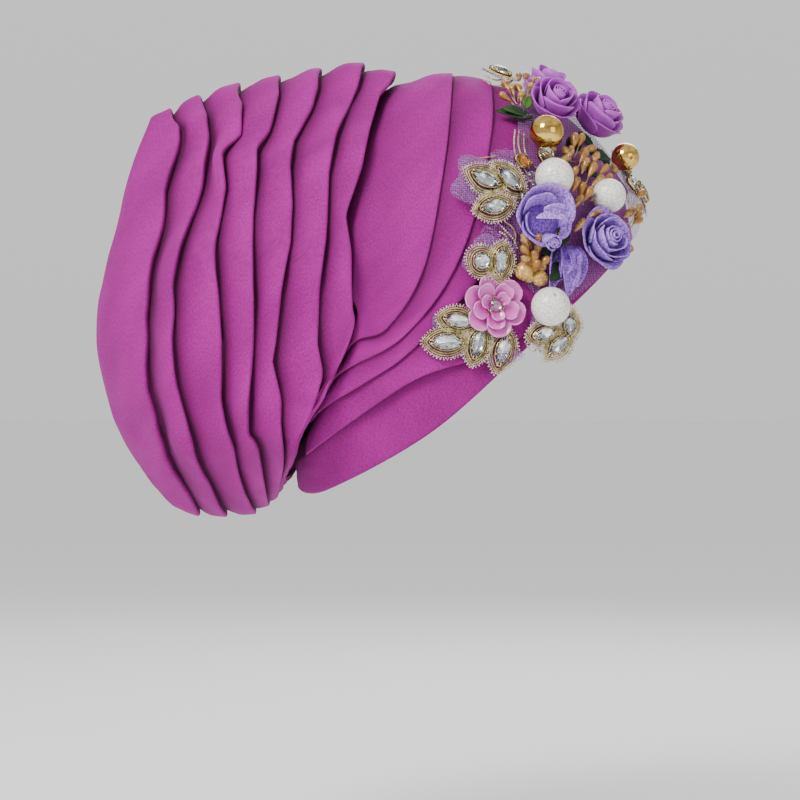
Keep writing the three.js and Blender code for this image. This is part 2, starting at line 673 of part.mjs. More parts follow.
function makeLeaf(wide, long) {
  const points = [];
  const faces = [];
  const steps = 6;
  for (const level of [0.8, 0]) {
    for (let i = 0; i <= steps; i += 1) {
      const t = i / steps;
      const half = long * 0.5 * Math.sin(Math.PI * Math.pow(0.08 + 0.88 * t, 0.8)) * (i % 2 ? 1.12 : 0.9);
      const x = wide * (t - 0.5);
      points.push(new THREE.Vector3(x, half, level + half * 0.3));
      points.push(new THREE.Vector3(x, 0, level));
      points.push(new THREE.Vector3(x, -half, level + half * 0.3));
    }
  }
  const layer = (steps + 1) * 3;
  const quad = (a, b, c, d) => faces.push(a, b, c, a, c, d);
  for (let i = 0; i < steps; i += 1) {
    const a = i * 3;
    for (const j of [0, 1]) {
      quad(a + j, a + j + 1, a + j + 4, a + j + 3);
      quad(layer + a + j, layer + a + j + 3, layer + a + j + 4, layer + a + j + 1);
    }
    quad(a, a + 3, layer + a + 3, layer + a);
    quad(a + 5, a + 2, layer + a + 2, layer + a + 5);
  }
  const end = steps * 3;
  for (const j of [0, 1]) {
    quad(j + 1, j, layer + j, layer + j + 1);
    quad(end + j, end + j + 1, layer + end + j + 1, layer + end + j);
  }
  return facedOut(geometryFrom(points, faces));
}

// Corners, edge middles and face centres of a geometry.
function samplesOf(geometry) {
  const corners = geometry.getAttribute("position");
  const index = geometry.index;
  const points = [];
  for (let i = 0; i < corners.count; i += 1) points.push(new THREE.Vector3().fromBufferAttribute(corners, i));
  const found = points.slice();
  for (let i = 0; i < index.count; i += 3) {
    const [a, b, c] = [0, 1, 2].map((j) => points[index.getX(i + j)]);
    found.push(a.clone().lerp(b, 0.5), b.clone().lerp(c, 0.5), c.clone().lerp(a, 0.5));
    found.push(a.clone().add(b).add(c).divideScalar(3));
  }
  return found;
}

// How far a piece can move along a direction before it meets one of the meshes.
function roomAlong(piece, direction, meshes) {
  const ray = new THREE.Raycaster();
  ray.far = 3 * clear_height;
  const swept = new THREE.Box3().setFromObject(piece);
  swept.union(swept.clone().translate(direction.clone().multiplyScalar(2 * clear_height)));
  const back = direction.clone().negate();
  let room = Infinity;
  const cast = (from, towards, target) => {
    ray.set(from, towards);
    const hit = ray.intersectObject(target, false)[0];
    if (hit) room = Math.min(room, hit.distance);
  };
  for (const mesh of meshes) {
    if (!swept.intersectsBox(new THREE.Box3().setFromObject(mesh))) continue;
    samplesOf(piece.geometry).forEach((p) => cast(p, direction, mesh));
    samplesOf(mesh.geometry).forEach((p) => {
      if (swept.containsPoint(p)) cast(p, back, piece);
    });
  }
  return room;
}

// Lowers a piece along the cloth's normal until it lies piece_gap from what carries it.
function seated(geometry, across, along, meshes) {
  const down = crownSurface.normal(across, along).negate();
  geometry.computeBoundingSphere();
  const piece = new THREE.Mesh(geometry, new THREE.MeshBasicMaterial({ side: THREE.DoubleSide }));
  const room = roomAlong(piece, down, meshes);
  return geometry.translate(...down.multiplyScalar(room - piece_gap).toArray());
}

function carriers() {
  return root.children.filter((mesh) => mesh.name !== "slouch_back");
}

function addPlaced(row, geometry, colour, roughness, metalness) {
  geometry.applyMatrix4(frameOn(row.across, row.along, clear_height, row.turn || 0));
  return addNode(row.name, seated(geometry, row.across, row.along, carriers()), colour, roughness, metalness);
}

function addNet() {
  const n = NET_OUTLINE.length;
  const centre = { k: 0, v: 0 };
  NET_OUTLINE.forEach((row) => {
    centre.k += row.across / n;
    centre.v += row.along / n;
  });
  const places = [];
  NET_OUTLINE.forEach((row, i) => {
    const next = NET_OUTLINE[(i + 1) % n];
    places.push({ k: row.across, v: row.along });
    places.push({ k: (row.across + next.across) / 2, v: (row.along + next.along) / 2 });
  });
  const plate = plateOn(places, centre, [0.33, 0.66, 1], plate_clear, net_thick);
  addNode("net_ground", seated(plate, centre.k, centre.v, carriers()), "net", 0.9);
}

// A flat plate in the frame of its own row, for lace that hangs past the rim.
function flatPlate(outline, thick) {
  const points = [];
  const faces = [];
  const n = outline.length;
  [thick, 0].forEach((level) => {
    points.push(new THREE.Vector3(0, 0, level));
    outline.forEach(([a, b]) => points.push(new THREE.Vector3(a, b, level)));
  });
  const layer = n + 1;
  for (let i = 0; i < n; i += 1) {
    const j = (i + 1) % n;
    faces.push(0, 1 + i, 1 + j);
    faces.push(layer, layer + 1 + j, layer + 1 + i);
    faces.push(1 + i, layer + 1 + i, layer + 1 + j, 1 + i, layer + 1 + j, 1 + j);
  }
  return facedOut(geometryFrom(points, faces));
}

function addLace(row) {
  const places = [];
  const outline = [];
  for (let i = 0; i < 16; i += 1) {
    const angle = (i / 16) * Math.PI * 2;
    const r = 0.5 * stone_size * (1 + 0.13 * Math.cos(row.lobes * angle));
    const a = r * row.wide * Math.cos(angle);
    const b = r * row.long * Math.sin(angle);
    outline.push([a, b]);
    if (!row.hangs) places.push(settle(row.across, row.along, row.turn, a, b));
  }
  if (row.hangs) {
    addPlaced(row, flatPlate(outline, lace_thick), "lace", 0.7);
    return;
  }
  const centre = { k: row.across, v: row.along };
  const plate = plateOn(places, centre, [0.5, 1], plate_clear + 2 * net_thick, lace_thick);
  addNode(row.name, seated(plate, row.across, row.along, carriers()), "lace", 0.7);
}

function addSequinFlower() {
  const size = sequin_flower_size;
  const row = SEQUIN_FLOWER;
  const flower = makeBlossom(SEQUIN_RINGS, 18, row.wide * size, row.wide * size, row.high * size, 0.09);
  addPlaced(row, flower, "sequin", 0.3);
  const stone = makeStone("round", SEQUIN_CENTRE.wide * size, SEQUIN_CENTRE.wide * size);
  addPlaced(SEQUIN_CENTRE, stone, "stone", 0.05);
}

addNode("slouch_back", makeBack(), "cloth", 0.85);
addNode("tucked_crown", makeCrown(), "cloth", 0.85);
addNode("head_band", makeBand(), "cloth", 0.85);
addNet();
LACE_GROUNDS.forEach(addLace);
SATIN_ROSES.forEach((row) => {
  const size = satin_rose_size;
  const rose = makeBlossom(ROSE_RINGS, 14, row.wide * size, row.long * size, row.high * size, 0.07);
  addPlaced(row, rose, "satin", 0.45);
});
CHIFFON_ROSES.forEach((row) => {
  const size = chiffon_rose_size;
  const rose = makeBlossom(ROSE_RINGS, 14, row.wide * size, row.long * size, row.high * size, 0.09);
  addPlaced(row, rose, "chiffon", 0.9);
});
BEADS.forEach((row) => {
  const shine = row.look === "gold" ? 0.2 : 0.35;
  addPlaced(row, makeBead(row.wide * row.size), row.look, shine);
});
STONES.forEach((row) => {
  const stone = makeStone(row.shape, row.wide * stone_size, row.long * stone_size);
  addPlaced(row, stone, row.name === "stone_amber" ? "amber" : "stone", 0.05);
});
addSequinFlower();
PIP_CLUSTERS.forEach((row) => {
  addPlaced(row, makePips(row.pips, row.spread), "pip", 0.5);
});
LEAVES.forEach((row) => {
  addPlaced(row, makeLeaf(row.wide * stone_size, row.long * stone_size), "leaf", 0.7);
});

// The origin lies on the inside of the crown.
const seat = seatHeight();
root.children.forEach((mesh) => mesh.geometry.translate(0, 0, -seat));

export default root;
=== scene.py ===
# Turban cap: slouched pleated back, tucked crown, band, and a trim of flowers, beads and stones
import math
import bpy
import bmesh
import numpy as np
from mathutils import Matrix, Vector


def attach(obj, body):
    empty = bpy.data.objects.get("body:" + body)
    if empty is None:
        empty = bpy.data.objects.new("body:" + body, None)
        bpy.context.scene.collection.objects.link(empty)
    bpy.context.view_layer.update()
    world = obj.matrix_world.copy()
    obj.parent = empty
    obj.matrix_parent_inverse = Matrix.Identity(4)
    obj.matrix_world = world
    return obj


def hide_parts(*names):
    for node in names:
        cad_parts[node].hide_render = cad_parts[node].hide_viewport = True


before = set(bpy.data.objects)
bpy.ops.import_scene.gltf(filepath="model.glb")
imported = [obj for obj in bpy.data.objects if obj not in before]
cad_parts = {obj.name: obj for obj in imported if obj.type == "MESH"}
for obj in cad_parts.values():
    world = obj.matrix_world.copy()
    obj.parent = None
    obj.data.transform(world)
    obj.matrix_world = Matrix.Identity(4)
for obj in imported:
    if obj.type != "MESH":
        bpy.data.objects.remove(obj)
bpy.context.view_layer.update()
mm = 0.001

# Camera and light
cameraSizes = {"x": -0.0162, "z": -0.17265, "away": 1.5, "pixel": 0.00054, "middle": 400}
camera = bpy.data.objects.new("camera", bpy.data.cameras.new("camera"))
camera.location = (cameraSizes["x"], -cameraSizes["away"], cameraSizes["z"])
camera.rotation_euler = (math.radians(90), 0, 0)
camera.data.sensor_width = 36
camera.data.angle = 2 * math.atan(cameraSizes["middle"] * cameraSizes["pixel"] / cameraSizes["away"])
bpy.context.scene.collection.objects.link(camera)
bpy.context.scene.camera = camera


def areaLight(name, place, target, size, power, colour=(1, 1, 1)):
    light = bpy.data.lights.new(name, "AREA")
    light.size, light.energy, light.color = size, power, colour
    lamp = bpy.data.objects.new(name, light)
    lamp.location = place
    lamp.rotation_euler = (Vector(target) - Vector(place)).to_track_quat("-Z", "Y").to_euler()
    bpy.context.scene.collection.objects.link(lamp)


lights = {"keyPower": 32, "fillPower": 5, "backPower": 12, "world": 1.04}
areaLight("key", (-0.75, -1.1, 0.95), (0, 0, -0.1), 0.6, lights["keyPower"])
areaLight("fill", (1.0, -1.2, 0.2), (0, 0, -0.1), 0.8, lights["fillPower"])
areaLight("back", (0.3, 1.3, 0.8), (0, 0, -0.1), 0.9, lights["backPower"])


def wire(tree, *joins):  # each join names a node and its output, then a node and its input
    for source, output, target, entry in joins:
        tree.links.new(source.outputs[output], target.inputs[entry])


def newNodes(tree, family, kinds):
    return [tree.nodes.new(family + kind) for kind in kinds.split()]


def fillRamp(ramp, stops):
    while len(ramp.color_ramp.elements) < len(stops):
        ramp.color_ramp.elements.new(0.5)
    for element, (place, colour) in zip(ramp.color_ramp.elements, stops):
        element.position = place
        element.color = colour


worldGreys = [(0.0, 0.5), (0.46, 0.76), (0.58, 0.82), (0.72, 0.5), (0.86, 0.95), (1.0, 0.8)]  # height and grey


def makeWorld():
    world = bpy.data.worlds.new("studio")
    bpy.context.scene.world = world
    world.use_nodes = True
    tree = world.node_tree
    coords, split, height, ramp = newNodes(tree, "ShaderNode", "TexCoord SeparateXYZ MapRange ValToRGB")
    height.inputs["From Min"].default_value = -1.0
    fillRamp(ramp, [(place, (grey, grey, grey * 1.01, 1)) for place, grey in worldGreys])
    shine = tree.nodes["Background"]
    shine.inputs[1].default_value = lights["world"]
    wire(tree, (coords, "Generated", split, 0), (split, "Z", height, "Value"), (height, "Result", ramp, 0),
         (ramp, 0, shine, 0))


makeWorld()

# Sizes and tables of the cap, in metres and in shares of its length, half width and height
capSizes = {
    "long": 0.3, "half": 0.094, "tall": 0.24, "seat": -0.002851, "cloth": 0.002, "foldHeight": 0.0044,
    "foldLap": 0.0034, "bandLap": 0.002, "layerGap": 0.0012, "seamDrop": 0.004, "reach": 0.825, "edgeRound": 0.0008,
}
backFolds = [
    [
        [-0.504, 0, -0.083], [-0.537, 0.053, -0.204], [-0.592, 0.053, -0.473], [-0.599, 0.053, -0.646],
        [-0.549, 0.053, -0.834], [-0.464, 0, -0.974],
    ],
    [
        [-0.468, 0, -0.074], [-0.454, 0.404, -0.205], [-0.492, 0.66, -0.483], [-0.494, 0.66, -0.688],
        [-0.462, 0.511, -0.862], [-0.416, 0, -0.995],
    ],
    [
        [-0.414, 0, -0.045], [-0.391, 0.553, -0.21], [-0.443, 0.851, -0.486], [-0.44, 0.83, -0.699],
        [-0.406, 0.66, -0.861], [-0.365, 0, -0.997],
    ],
    [
        [-0.342, 0, -0.02], [-0.361, 0.66, -0.203], [-0.364, 0.957, -0.488], [-0.359, 0.915, -0.71],
        [-0.341, 0.745, -0.864], [-0.313, 0, -0.986],
    ],
    [
        [-0.27, 0, 0.002], [-0.3, 0.713, -0.215], [-0.302, 0.99, -0.489], [-0.309, 0.968, -0.721],
        [-0.295, 0.819, -0.851], [-0.288, 0, -0.968],
    ],
    [
        [-0.196, 0, 0.016], [-0.241, 0.745, -0.216], [-0.254, 1, -0.489], [-0.262, 1, -0.7], [-0.252, 0.885, -0.858],
        [-0.274, 0, -0.95],
    ],
    [
        [-0.117, 0, 0.025], [-0.171, 0.766, -0.206], [-0.189, 1, -0.489], [-0.186, 1, -0.685], [-0.236, 0.9, -0.846],
        [-0.263, 0, -0.929],
    ],
    [
        [-0.061, 0, 0.007], [-0.116, 0.766, -0.213], [-0.137, 0.995, -0.457], [-0.132, 1.0, -0.584],
        [-0.224, 0.885, -0.822], [-0.256, 0, -0.911],
    ],
]
crownTucks = [
    [
        [0.04, 0, 0.005], [0.025, 0.74, -0.194], [-0.013, 0.915, -0.447], [-0.076, 0.92, -0.579],
        [-0.152, 0.88, -0.632],
    ],
    [[0.11, 0, -0.014], [0.1, 0.7, -0.191], [0.048, 0.894, -0.43], [-0.047, 0.936, -0.596], [-0.176, 0.87, -0.697]],
    [[0.234, 0, -0.074], [0.195, 0.68, -0.287], [0.065, 0.885, -0.497], [-0.054, 0.926, -0.646], [-0.2, 0.8, -0.765]],
]
bandEdges = [
    [
        [0.346, 0, -0.263], [0.284, 0.56, -0.414], [0.14, 0.81, -0.609], [-0.032, 0.883, -0.689],
        [-0.2, 0.69, -0.836], [-0.241, 0, -0.875],
    ],
    [
        [0.364, 0, -0.367], [0.3, 0.56, -0.455], [0.158, 0.8, -0.622], [-0.003, 0.862, -0.799],
        [-0.183, 0.61, -0.925], [-0.238, 0, -0.925],
    ],
]


def placedRow(row):
    p = np.array(row, float)
    return np.stack([p[:, 0] * capSizes["long"], -p[:, 1] * capSizes["half"],
                     p[:, 2] * capSizes["tall"] - capSizes["seat"]], 1)


def flipSide(p):
    return p * np.array([1.0, -1.0, 1.0])


def curveThrough(a, b, c, d, t):
    t = np.asarray(t)[..., None]
    t2, t3 = t * t, t * t * t
    return a * (-0.5 * t + t2 - 0.5 * t3) + b * (1 - 2.5 * t2 + 1.5 * t3) + c * (0.5 * t
            + 2 * t2 - 1.5 * t3) + d * (-0.5 * t2 + 0.5 * t3)


def alongRow(points, u, closed):
    last = len(points) - 1
    place = np.clip(u * last, 0, last + 0.5)
    i = np.minimum(np.floor(place).astype(int), last - 1)
    t = place - i
    beyond = 2 * points[last] - points[last - 1]
    after = flipSide(points[last - 1]) if closed else beyond
    row = np.vstack([flipSide(points[1]), points, after])
    out = curveThrough(row[i], row[i + 1], row[i + 2], row[i + 3], np.minimum(t, 1))
    over = np.maximum(t - 1, 0)[..., None]
    return out + (beyond - points[last]) * over


class Drape:  # a smooth surface through rings: k counts rings, v runs from -1 (left) through 0 (top) to 1 (right)
    def __init__(self, rows, closed, roundStart=False):
        self.rows, self.closed, self.roundStart = rows, closed, roundStart

    def at(self, k, v):
        k, v = np.broadcast_arrays(np.asarray(k, float), np.asarray(v, float))
        shape, k, v = k.shape, k.ravel(), v.ravel()
        rings = np.stack([alongRow(r, np.abs(v), self.closed) for r in self.rows])
        top = len(self.rows) - 1
        place = np.clip(k, -0.9, top + 3)
        i = np.clip(np.floor(place).astype(int), 0, top - 1)
        t = place - i
        n = np.arange(len(k))
        b, c = rings[i, n], rings[i + 1, n]
        first = flipSide(c) if self.roundStart else 2 * b - c
        a = np.where((i > 0)[:, None], rings[np.maximum(i - 1, 0), n], first)
        d = np.where((i + 2 <= top)[:, None], rings[np.minimum(i + 2, top), n], 2 * c - b)
        out = curveThrough(a, b, c, d, np.clip(t, 0, 1))
        out = out + (c - b) * (np.minimum(t, 0) + np.maximum(t - 1, 0))[:, None]
        return np.where((v < 0)[:, None], flipSide(out), out).reshape(shape + (3,))

    def normal(self, k, v):
        k, v = np.broadcast_arrays(np.asarray(k, float), np.asarray(v, float))
        e, w = 0.01, np.abs(v)
        lo = np.where(w < 2 * e, 0, w - e) if self.closed else w - e
        hi = np.minimum(w + e, 1) if self.closed else w + e
        nearTop, nearEnd = (lo <= 0)[..., None], ((w > 1 - 2 * e) & self.closed)[..., None]
        p1 = np.where(nearTop, flipSide(self.at(k, e)), self.at(k, np.maximum(lo, 0)))
        p2 = np.where(nearEnd, flipSide(self.at(k, 1 - e)), self.at(k, hi))
        start = np.where(nearTop, p1, np.where(nearEnd, self.at(k, 1 - e), p1))
        n = np.cross(p2 - start, self.at(k + e, w) - self.at(k - e, w))
        n[..., 1] = np.where((w < 1e-6) | (self.closed & (w > 1 - 1e-6)), 0, n[..., 1])
        n /= np.linalg.norm(n, axis=-1, keepdims=True)
        return np.where((v < 0)[..., None], flipSide(n), n)


def seenAt(p):  # photograph pixel of a point
    scale = cameraSizes["away"] / (cameraSizes["away"] + p[..., 1]) / cameraSizes["pixel"]
    across, up = (p[..., 0] - cameraSizes["x"]) * scale, (p[..., 2] - cameraSizes["z"]) * scale
    return cameraSizes["middle"] + across, cameraSizes["middle"] - up


# Front edge of each fold as the photograph shows it, in its pixels, for the small bends between the stations
foldEdges = {
    1: [
        (169, 112), (182, 126), (181, 137), (174, 154), (167, 171), (160, 189), (160, 226), (155, 245), (149, 266),
        (145, 291), (142, 317), (142, 342), (143, 368), (146, 391), (159, 425), (164, 457), (171, 471), (181, 489),
    ],
    2: [
        (201, 98), (206, 115), (209, 135), (207, 149), (200, 183), (188, 213), (179, 243), (172, 285), (170, 336),
        (175, 387), (188, 428), (202, 482),
    ],
    3: [
        (242, 88), (240, 109), (237, 131), (227, 144), (222, 153), (225, 185), (217, 219), (214, 240), (217, 291),
        (221, 342), (220, 399), (226, 425), (239, 477),
    ],
    4: [
        (281, 77), (273, 114), (269, 127), (257, 148), (257, 168), (252, 213), (252, 240), (254, 297), (252, 342),
        (249, 399), (246, 438), (259, 456),
    ],
    5: [
        (322, 72), (311, 105), (302, 121), (294, 137), (290, 165), (291, 203), (289, 240), (281, 291), (276, 342),
        (273, 361), (284, 424),
    ],
    6: [(366, 69), (349, 101), (337, 132), (329, 171), (327, 222), (326, 240), (319, 291), (317, 342), (326, 386)],
    7: [(396, 74), (381, 93), (370, 129), (362, 165), (349, 203), (346, 213), (351, 250), (352, 311), (355, 329)],
}
edgeLimits = {"fadeIn": 14, "fadeOut": 24, "most": 11}  # in pixels


def edgeShift(fold, place, v):  # how far forward of the plain edge the photograph has it, in metres
    if fold not in foldEdges:
        return np.zeros(len(v))
    track = np.array(foldEdges[fold], float)
    px, py = seenAt(place)
    off = np.interp(py, track[:, 1], track[:, 0]) - px
    fadeIn = np.clip((py - track[0, 1]) / edgeLimits["fadeIn"], 0, 1)
    fadeOut = np.clip((track[-1, 1] - py) / edgeLimits["fadeOut"], 0, 1)
    return np.clip(off * fadeIn * fadeOut, -edgeLimits["most"], edgeLimits["most"]) * cameraSizes["pixel"]


backDrape = Drape([placedRow(r) for r in backFolds], True, True)
bandDrape = Drape([placedRow(r) for r in bandEdges], True)


def crownRows():
    sixth, fifth = np.arange(6) * 0.15, np.arange(6) / 5
    first = backDrape.at(7, sixth) - backDrape.normal(7, sixth) * (capSizes["cloth"] + capSizes["seamDrop"])
    edge = [bandDrape.at(k, fifth) + bandDrape.normal(k, fifth) * out for k, out in
            [(0, 0), (0, capSizes["cloth"] + capSizes["layerGap"]), (1, capSizes["cloth"])]]
    tucks = [np.vstack([placedRow(r), edge[0][5]]) for r in crownTucks]
    return [first, *tucks, edge[1], edge[2]]


crownDrape = Drape(crownRows(), True)


# Mesh helpers
class Piece:  # gathers points, faces, painted light and shade tones and map places for one object
    def __init__(self):
        self.points, self.faces, self.tones, self.slots, self.uvs, self.count = [], [], [], [], [], 0

    def add(self, points, faces, tone=0.5, slot=0, uv=None):
        points = np.asarray(points, float).reshape(-1, 3)
        self.points.append(points)
        self.tones.append(np.broadcast_to(np.asarray(tone, float), (len(points),)))
        self.uvs.append(np.zeros((len(points), 2)) if uv is None else np.asarray(uv, float).reshape(-1, 2))
        for face in faces:
            self.faces.append([int(i) + self.count for i in face])
            self.slots.append(slot)
        self.count += len(points)

    def build(self, name, materials, smooth=True, outward=True):
        mesh = bpy.data.meshes.new(name)
        mesh.from_pydata(np.vstack(self.points).tolist(), [], self.faces)
        # The tone attribute carries painted light: shade in folds and flower hearts, and reflections on the stones'
        # foil
        tone = mesh.attributes.new("tone", "FLOAT", "POINT")
        tone.data.foreach_set("value", np.concatenate(self.tones).astype(np.float32))
        for material in materials:
            mesh.materials.append(material)
        mesh.polygons.foreach_set("material_index", self.slots)
        uv = mesh.uv_layers.new(name="UVMap")
        corners = np.zeros(len(mesh.loops), int)
        mesh.loops.foreach_get("vertex_index", corners)
        uv.data.foreach_set("uv", np.vstack(self.uvs)[corners].astype(np.float32).ravel())
        if outward:
            work = bmesh.new()
            work.from_mesh(mesh)
            bmesh.ops.recalc_face_normals(work, faces=work.faces)
            work.to_mesh(mesh)
            work.free()
        mesh.polygons.foreach_set("use_smooth", [smooth] * len(mesh.polygons))
        mesh.update()
        thing = bpy.data.objects.new(name, mesh)
        bpy.context.scene.collection.objects.link(thing)
        return thing


def finishPiece(thing, nodes=()):
    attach(thing, "root")
    if nodes:
        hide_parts(*nodes)
    print("made", thing.name, len(thing.data.polygons) if thing.type == "MESH" else "")
    return thing


def gridFaces(rows, columns, loop=False):
    faces = []
    for r in range(rows - 1):
        for c in range(columns if loop else columns - 1):
            n = (c + 1) % columns
            faces.append((r * columns + c, r * columns + n, (r + 1) * columns + n, (r + 1) * columns + c))
    return faces


def shellFaces(rows, columns):  # front grid then back grid, closed round the rim
    front = gridFaces(rows, columns)
    off = rows * columns
    faces = front + [tuple(off + i for i in reversed(f)) for f in front]
    rim = [(0, c) for c in range(columns)] + [(r, columns - 1) for r in range(1, rows)]
    rim += [(rows - 1, c) for c in range(columns - 2, -1, -1)] + [(r, 0) for r in range(rows - 2, 0, -1)]
    flat = [r * columns + c for r, c in rim]
    for i, a in enumerate(flat):
        b = flat[(i + 1) % len(flat)]
        faces.append((b, a, off + a, off + b))
    return faces


def gridNormals(grid):
    dr, dc = np.gradient(grid, axis=0), np.gradient(grid, axis=1)
    n = np.cross(dr, dc)
    return n / np.maximum(np.linalg.norm(n, axis=-1, keepdims=True), 1e-9)


def addSheet(piece, grid, thick, matrix, shadeFront, shadeBack, slot=0):  # a thin closed petal from a grid
    n = gridNormals(grid)
    rows, columns = grid.shape[:2]
    points = np.vstack([(grid + n * thick / 2).reshape(-1, 3), (grid - n * thick / 2).reshape(-1, 3)])
    u, v = np.meshgrid(np.linspace(0, 1, columns), np.linspace(0, 1, rows))
    uv = np.stack([u.ravel(), v.ravel()], 1)
    tone = np.concatenate([np.broadcast_to(side, (rows, columns)).ravel() for side in (shadeFront, shadeBack)])
    piece.add(turnPoints(matrix, points), shellFaces(rows, columns), tone, slot, np.vstack([uv, uv]))


def turnPoints(matrix, points):
    m = np.array(matrix)
    return points @ m[:3, :3].T + m[:3, 3]


def addTurned(piece, profile, sides, matrix, tone=0.5, slot=0):  # closed solid from (radius, height) pairs
    angle = np.arange(sides) / sides * 2 * math.pi
    points, faces, uv, starts = [], [], [], []
    for i, (r, z) in enumerate(profile):
        starts.append(len(points))
        if r <= 1e-9:
            points.append((0, 0, z))
            uv.append((0.5, i / (len(profile) - 1)))
        else:
            points += [(r * math.cos(a), r * math.sin(a), z) for a in angle]
            uv += [(a / 2 / math.pi, i / (len(profile) - 1)) for a in angle]
    for i in range(len(profile) - 1):
        a, b = starts[i], starts[i + 1]
        onePoint, nextPoint = profile[i][0] <= 1e-9, profile[i + 1][0] <= 1e-9
        for s in range(sides):
            n = (s + 1) % sides
            if onePoint:
                faces.append((a, b + s, b + n))
            elif nextPoint:
                faces.append((a + n, a + s, b))
            else:
                faces.append((a + s, b + s, b + n, a + n))
    piece.add(turnPoints(matrix, np.array(points, float)), faces, tone, slot, uv)


def addTube(piece, path, radius, sides=6, tone=0.5, slot=0, matrix=None):  # closed tube along points
    path = np.asarray(path, float)
    if matrix is not None:
        path = turnPoints(matrix, path)
    radii = np.broadcast_to(radius, (len(path),))
    ahead = np.gradient(path, axis=0)
    ahead /= np.maximum(np.linalg.norm(ahead, axis=1, keepdims=True), 1e-12)
    side = np.cross(ahead, [0.31, 0.22, 0.92])
    side /= np.linalg.norm(side, axis=1, keepdims=True)
    up = np.cross(side, ahead)
    points = []
    for p, s, u, r in zip(path, side, up, radii):
        points += [p + (s * math.cos(a) + u * math.sin(a)) * r for a in np.arange(sides) / sides * 2 * math.pi]
    faces = gridFaces(len(path), sides, True)
    faces += [tuple(range(sides))[::-1], tuple(range((len(path) - 1) * sides, len(path) * sides))]
    piece.add(points, faces, tone, slot)


# Places on the crown
def frameOn(k, v, lift=0.0, turn=0.0):  # z out of the cloth, x to the viewer's right, y up
    n = crownDrape.normal(k, v)
    x = np.cross([0, 0, 1.0], n)
    x /= np.linalg.norm(x)
    y = np.cross(n, x)
    p = crownDrape.at(k, v) + n * lift
    m = Matrix(((x[0], y[0], n[0], p[0]), (x[1], y[1], n[1], p[1]), (x[2], y[2], n[2], p[2]), (0, 0, 0, 1)))
    return m @ Matrix.Rotation(math.radians(turn), 4, "Z")


def seatedFrame(node, k, v, turn=0.0):  # the same, lifted to where the node rests
    m = frameOn(k, v, 0, turn)
    n = Vector((m[0][2], m[1][2], m[2][2]))
    low = min((p.co - m.translation).dot(n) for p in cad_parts[node].data.vertices)
    return Matrix.Translation(n * low) @ m


def spotAt(px, py, k=3.8, v=0.24, spanK=3.4, spanV=0.4, rounds=6):  # place on the crown that shows at a pixel
    for _ in range(rounds):
        along, across = np.linspace(k - spanK, k + spanK, 27), np.linspace(max(v - spanV, -0.12),
                min(v + spanV, 0.66), 27)
        ks, vs = np.meshgrid(along, across, indexing="ij")
        spots = crownDrape.at(ks, vs)
        x, y = seenAt(spots)
        best = np.argmin((x - px) ** 2 + (y - py) ** 2 + 1e5 * (spots[..., 1] > 0))  # on the trimmed side
        k, v = ks.ravel()[best], vs.ravel()[best]
        spanK, spanV = spanK * 0.25, spanV * 0.25
    return k, v


def frameAt(px, py, lift=0.0, turn=0.0):  # lifted off the crown, and still showing at that pixel
    aimX, aimY, k, v = px, py, *spotAt(px, py)
    for _ in range(4):
        k, v = spotAt(aimX, aimY, k, v, 0.3, 0.04, 3)
        m = frameOn(k, v, 0, turn)
        n = Vector((m[0][2], m[1][2], m[2][2]))
        raised = Matrix.Translation(n * lift) @ m
        x, y = seenAt(np.array(raised.translation))
        aimX, aimY = aimX + (px - x) * 0.9, aimY + (py - y) * 0.9
    return raised


def settle(k0, v0, turn, offsets):  # places on the crown that lie given distances from a start
    m = np.array(frameOn(k0, v0, 0, turn))
    target = turnPoints(m, np.hstack([offsets, np.zeros((len(offsets), 1))]))
    x, y = m[:3, 0], m[:3, 1]
    k, v, e = np.full(len(offsets), float(k0)), np.full(len(offsets), float(v0)), 0.01
    for _ in range(6):
        p = crownDrape.at(k, v)
        pk, pv, d = (crownDrape.at(k + e, v) - p) / e, (crownDrape.at(k, v + e) - p) / e, target - p
        det = (pk @ x) * (pv @ y) - (pv @ x) * (pk @ y)
        k = k + ((d @ x) * (pv @ y) - (pv @ x) * (d @ y)) / det
        v = v + ((pk @ x) * (d @ y) - (d @ x) * (pk @ y)) / det
    return k, v


# Shader groups and materials
def shaderGroup(name, inputs, outputs):
    group = bpy.data.node_groups.new(name, "ShaderNodeTree")
    for label, value in inputs:
        kind = "NodeSocketVector" if value is None else "NodeSocketFloat"
        socket = group.interface.new_socket(name=label, in_out="INPUT", socket_type=kind)
        if value is not None:
            socket.default_value = value
    for label in outputs:
        group.interface.new_socket(name=label, in_out="OUTPUT", socket_type="NodeSocketFloat")
    return group, group.nodes.new("NodeGroupInput"), group.nodes.new("NodeGroupOutput")


def mathNode(tree, kind, a, b=None):
    node = tree.nodes.new("ShaderNodeMath")
    node.operation = kind
    for i, value in enumerate([a, b]):
        if value is None:
            continue
        if isinstance(value, (int, float)):
            node.inputs[i].default_value = value
        else:
            tree.links.new(value, node.inputs[i])
    return node.outputs[0]


def makeCrepeGroup():  # yarn grain that runs along V of the map, with slubs and a soft mottle
    inputs = [("Vector", None), ("Across", 1700.0), ("Along", 260.0), ("Mottle Scale", 60.0)]
    group, source, sink = shaderGroup("crepeGrain", inputs, ["Height", "Mottle"])
    split, join, yarn, mottle = newNodes(group, "ShaderNode", "SeparateXYZ CombineXYZ TexNoise TexNoise")
    wire(group, (source, "Vector", split, 0), (source, "Vector", mottle, "Vector"),
         (source, "Mottle Scale", mottle, "Scale"),
         (join, 0, yarn, "Vector"), (yarn, 0, sink, "Height"), (mottle, 0, sink, "Mottle"))
    for i, label in enumerate(["Across", "Along"]):
        group.links.new(mathNode(group, "MULTIPLY", split.outputs[i], source.outputs[label]), join.inputs[i])
    yarn.inputs["Scale"].default_value = 1.0
    yarn.inputs["Detail"].default_value = 3
    return group


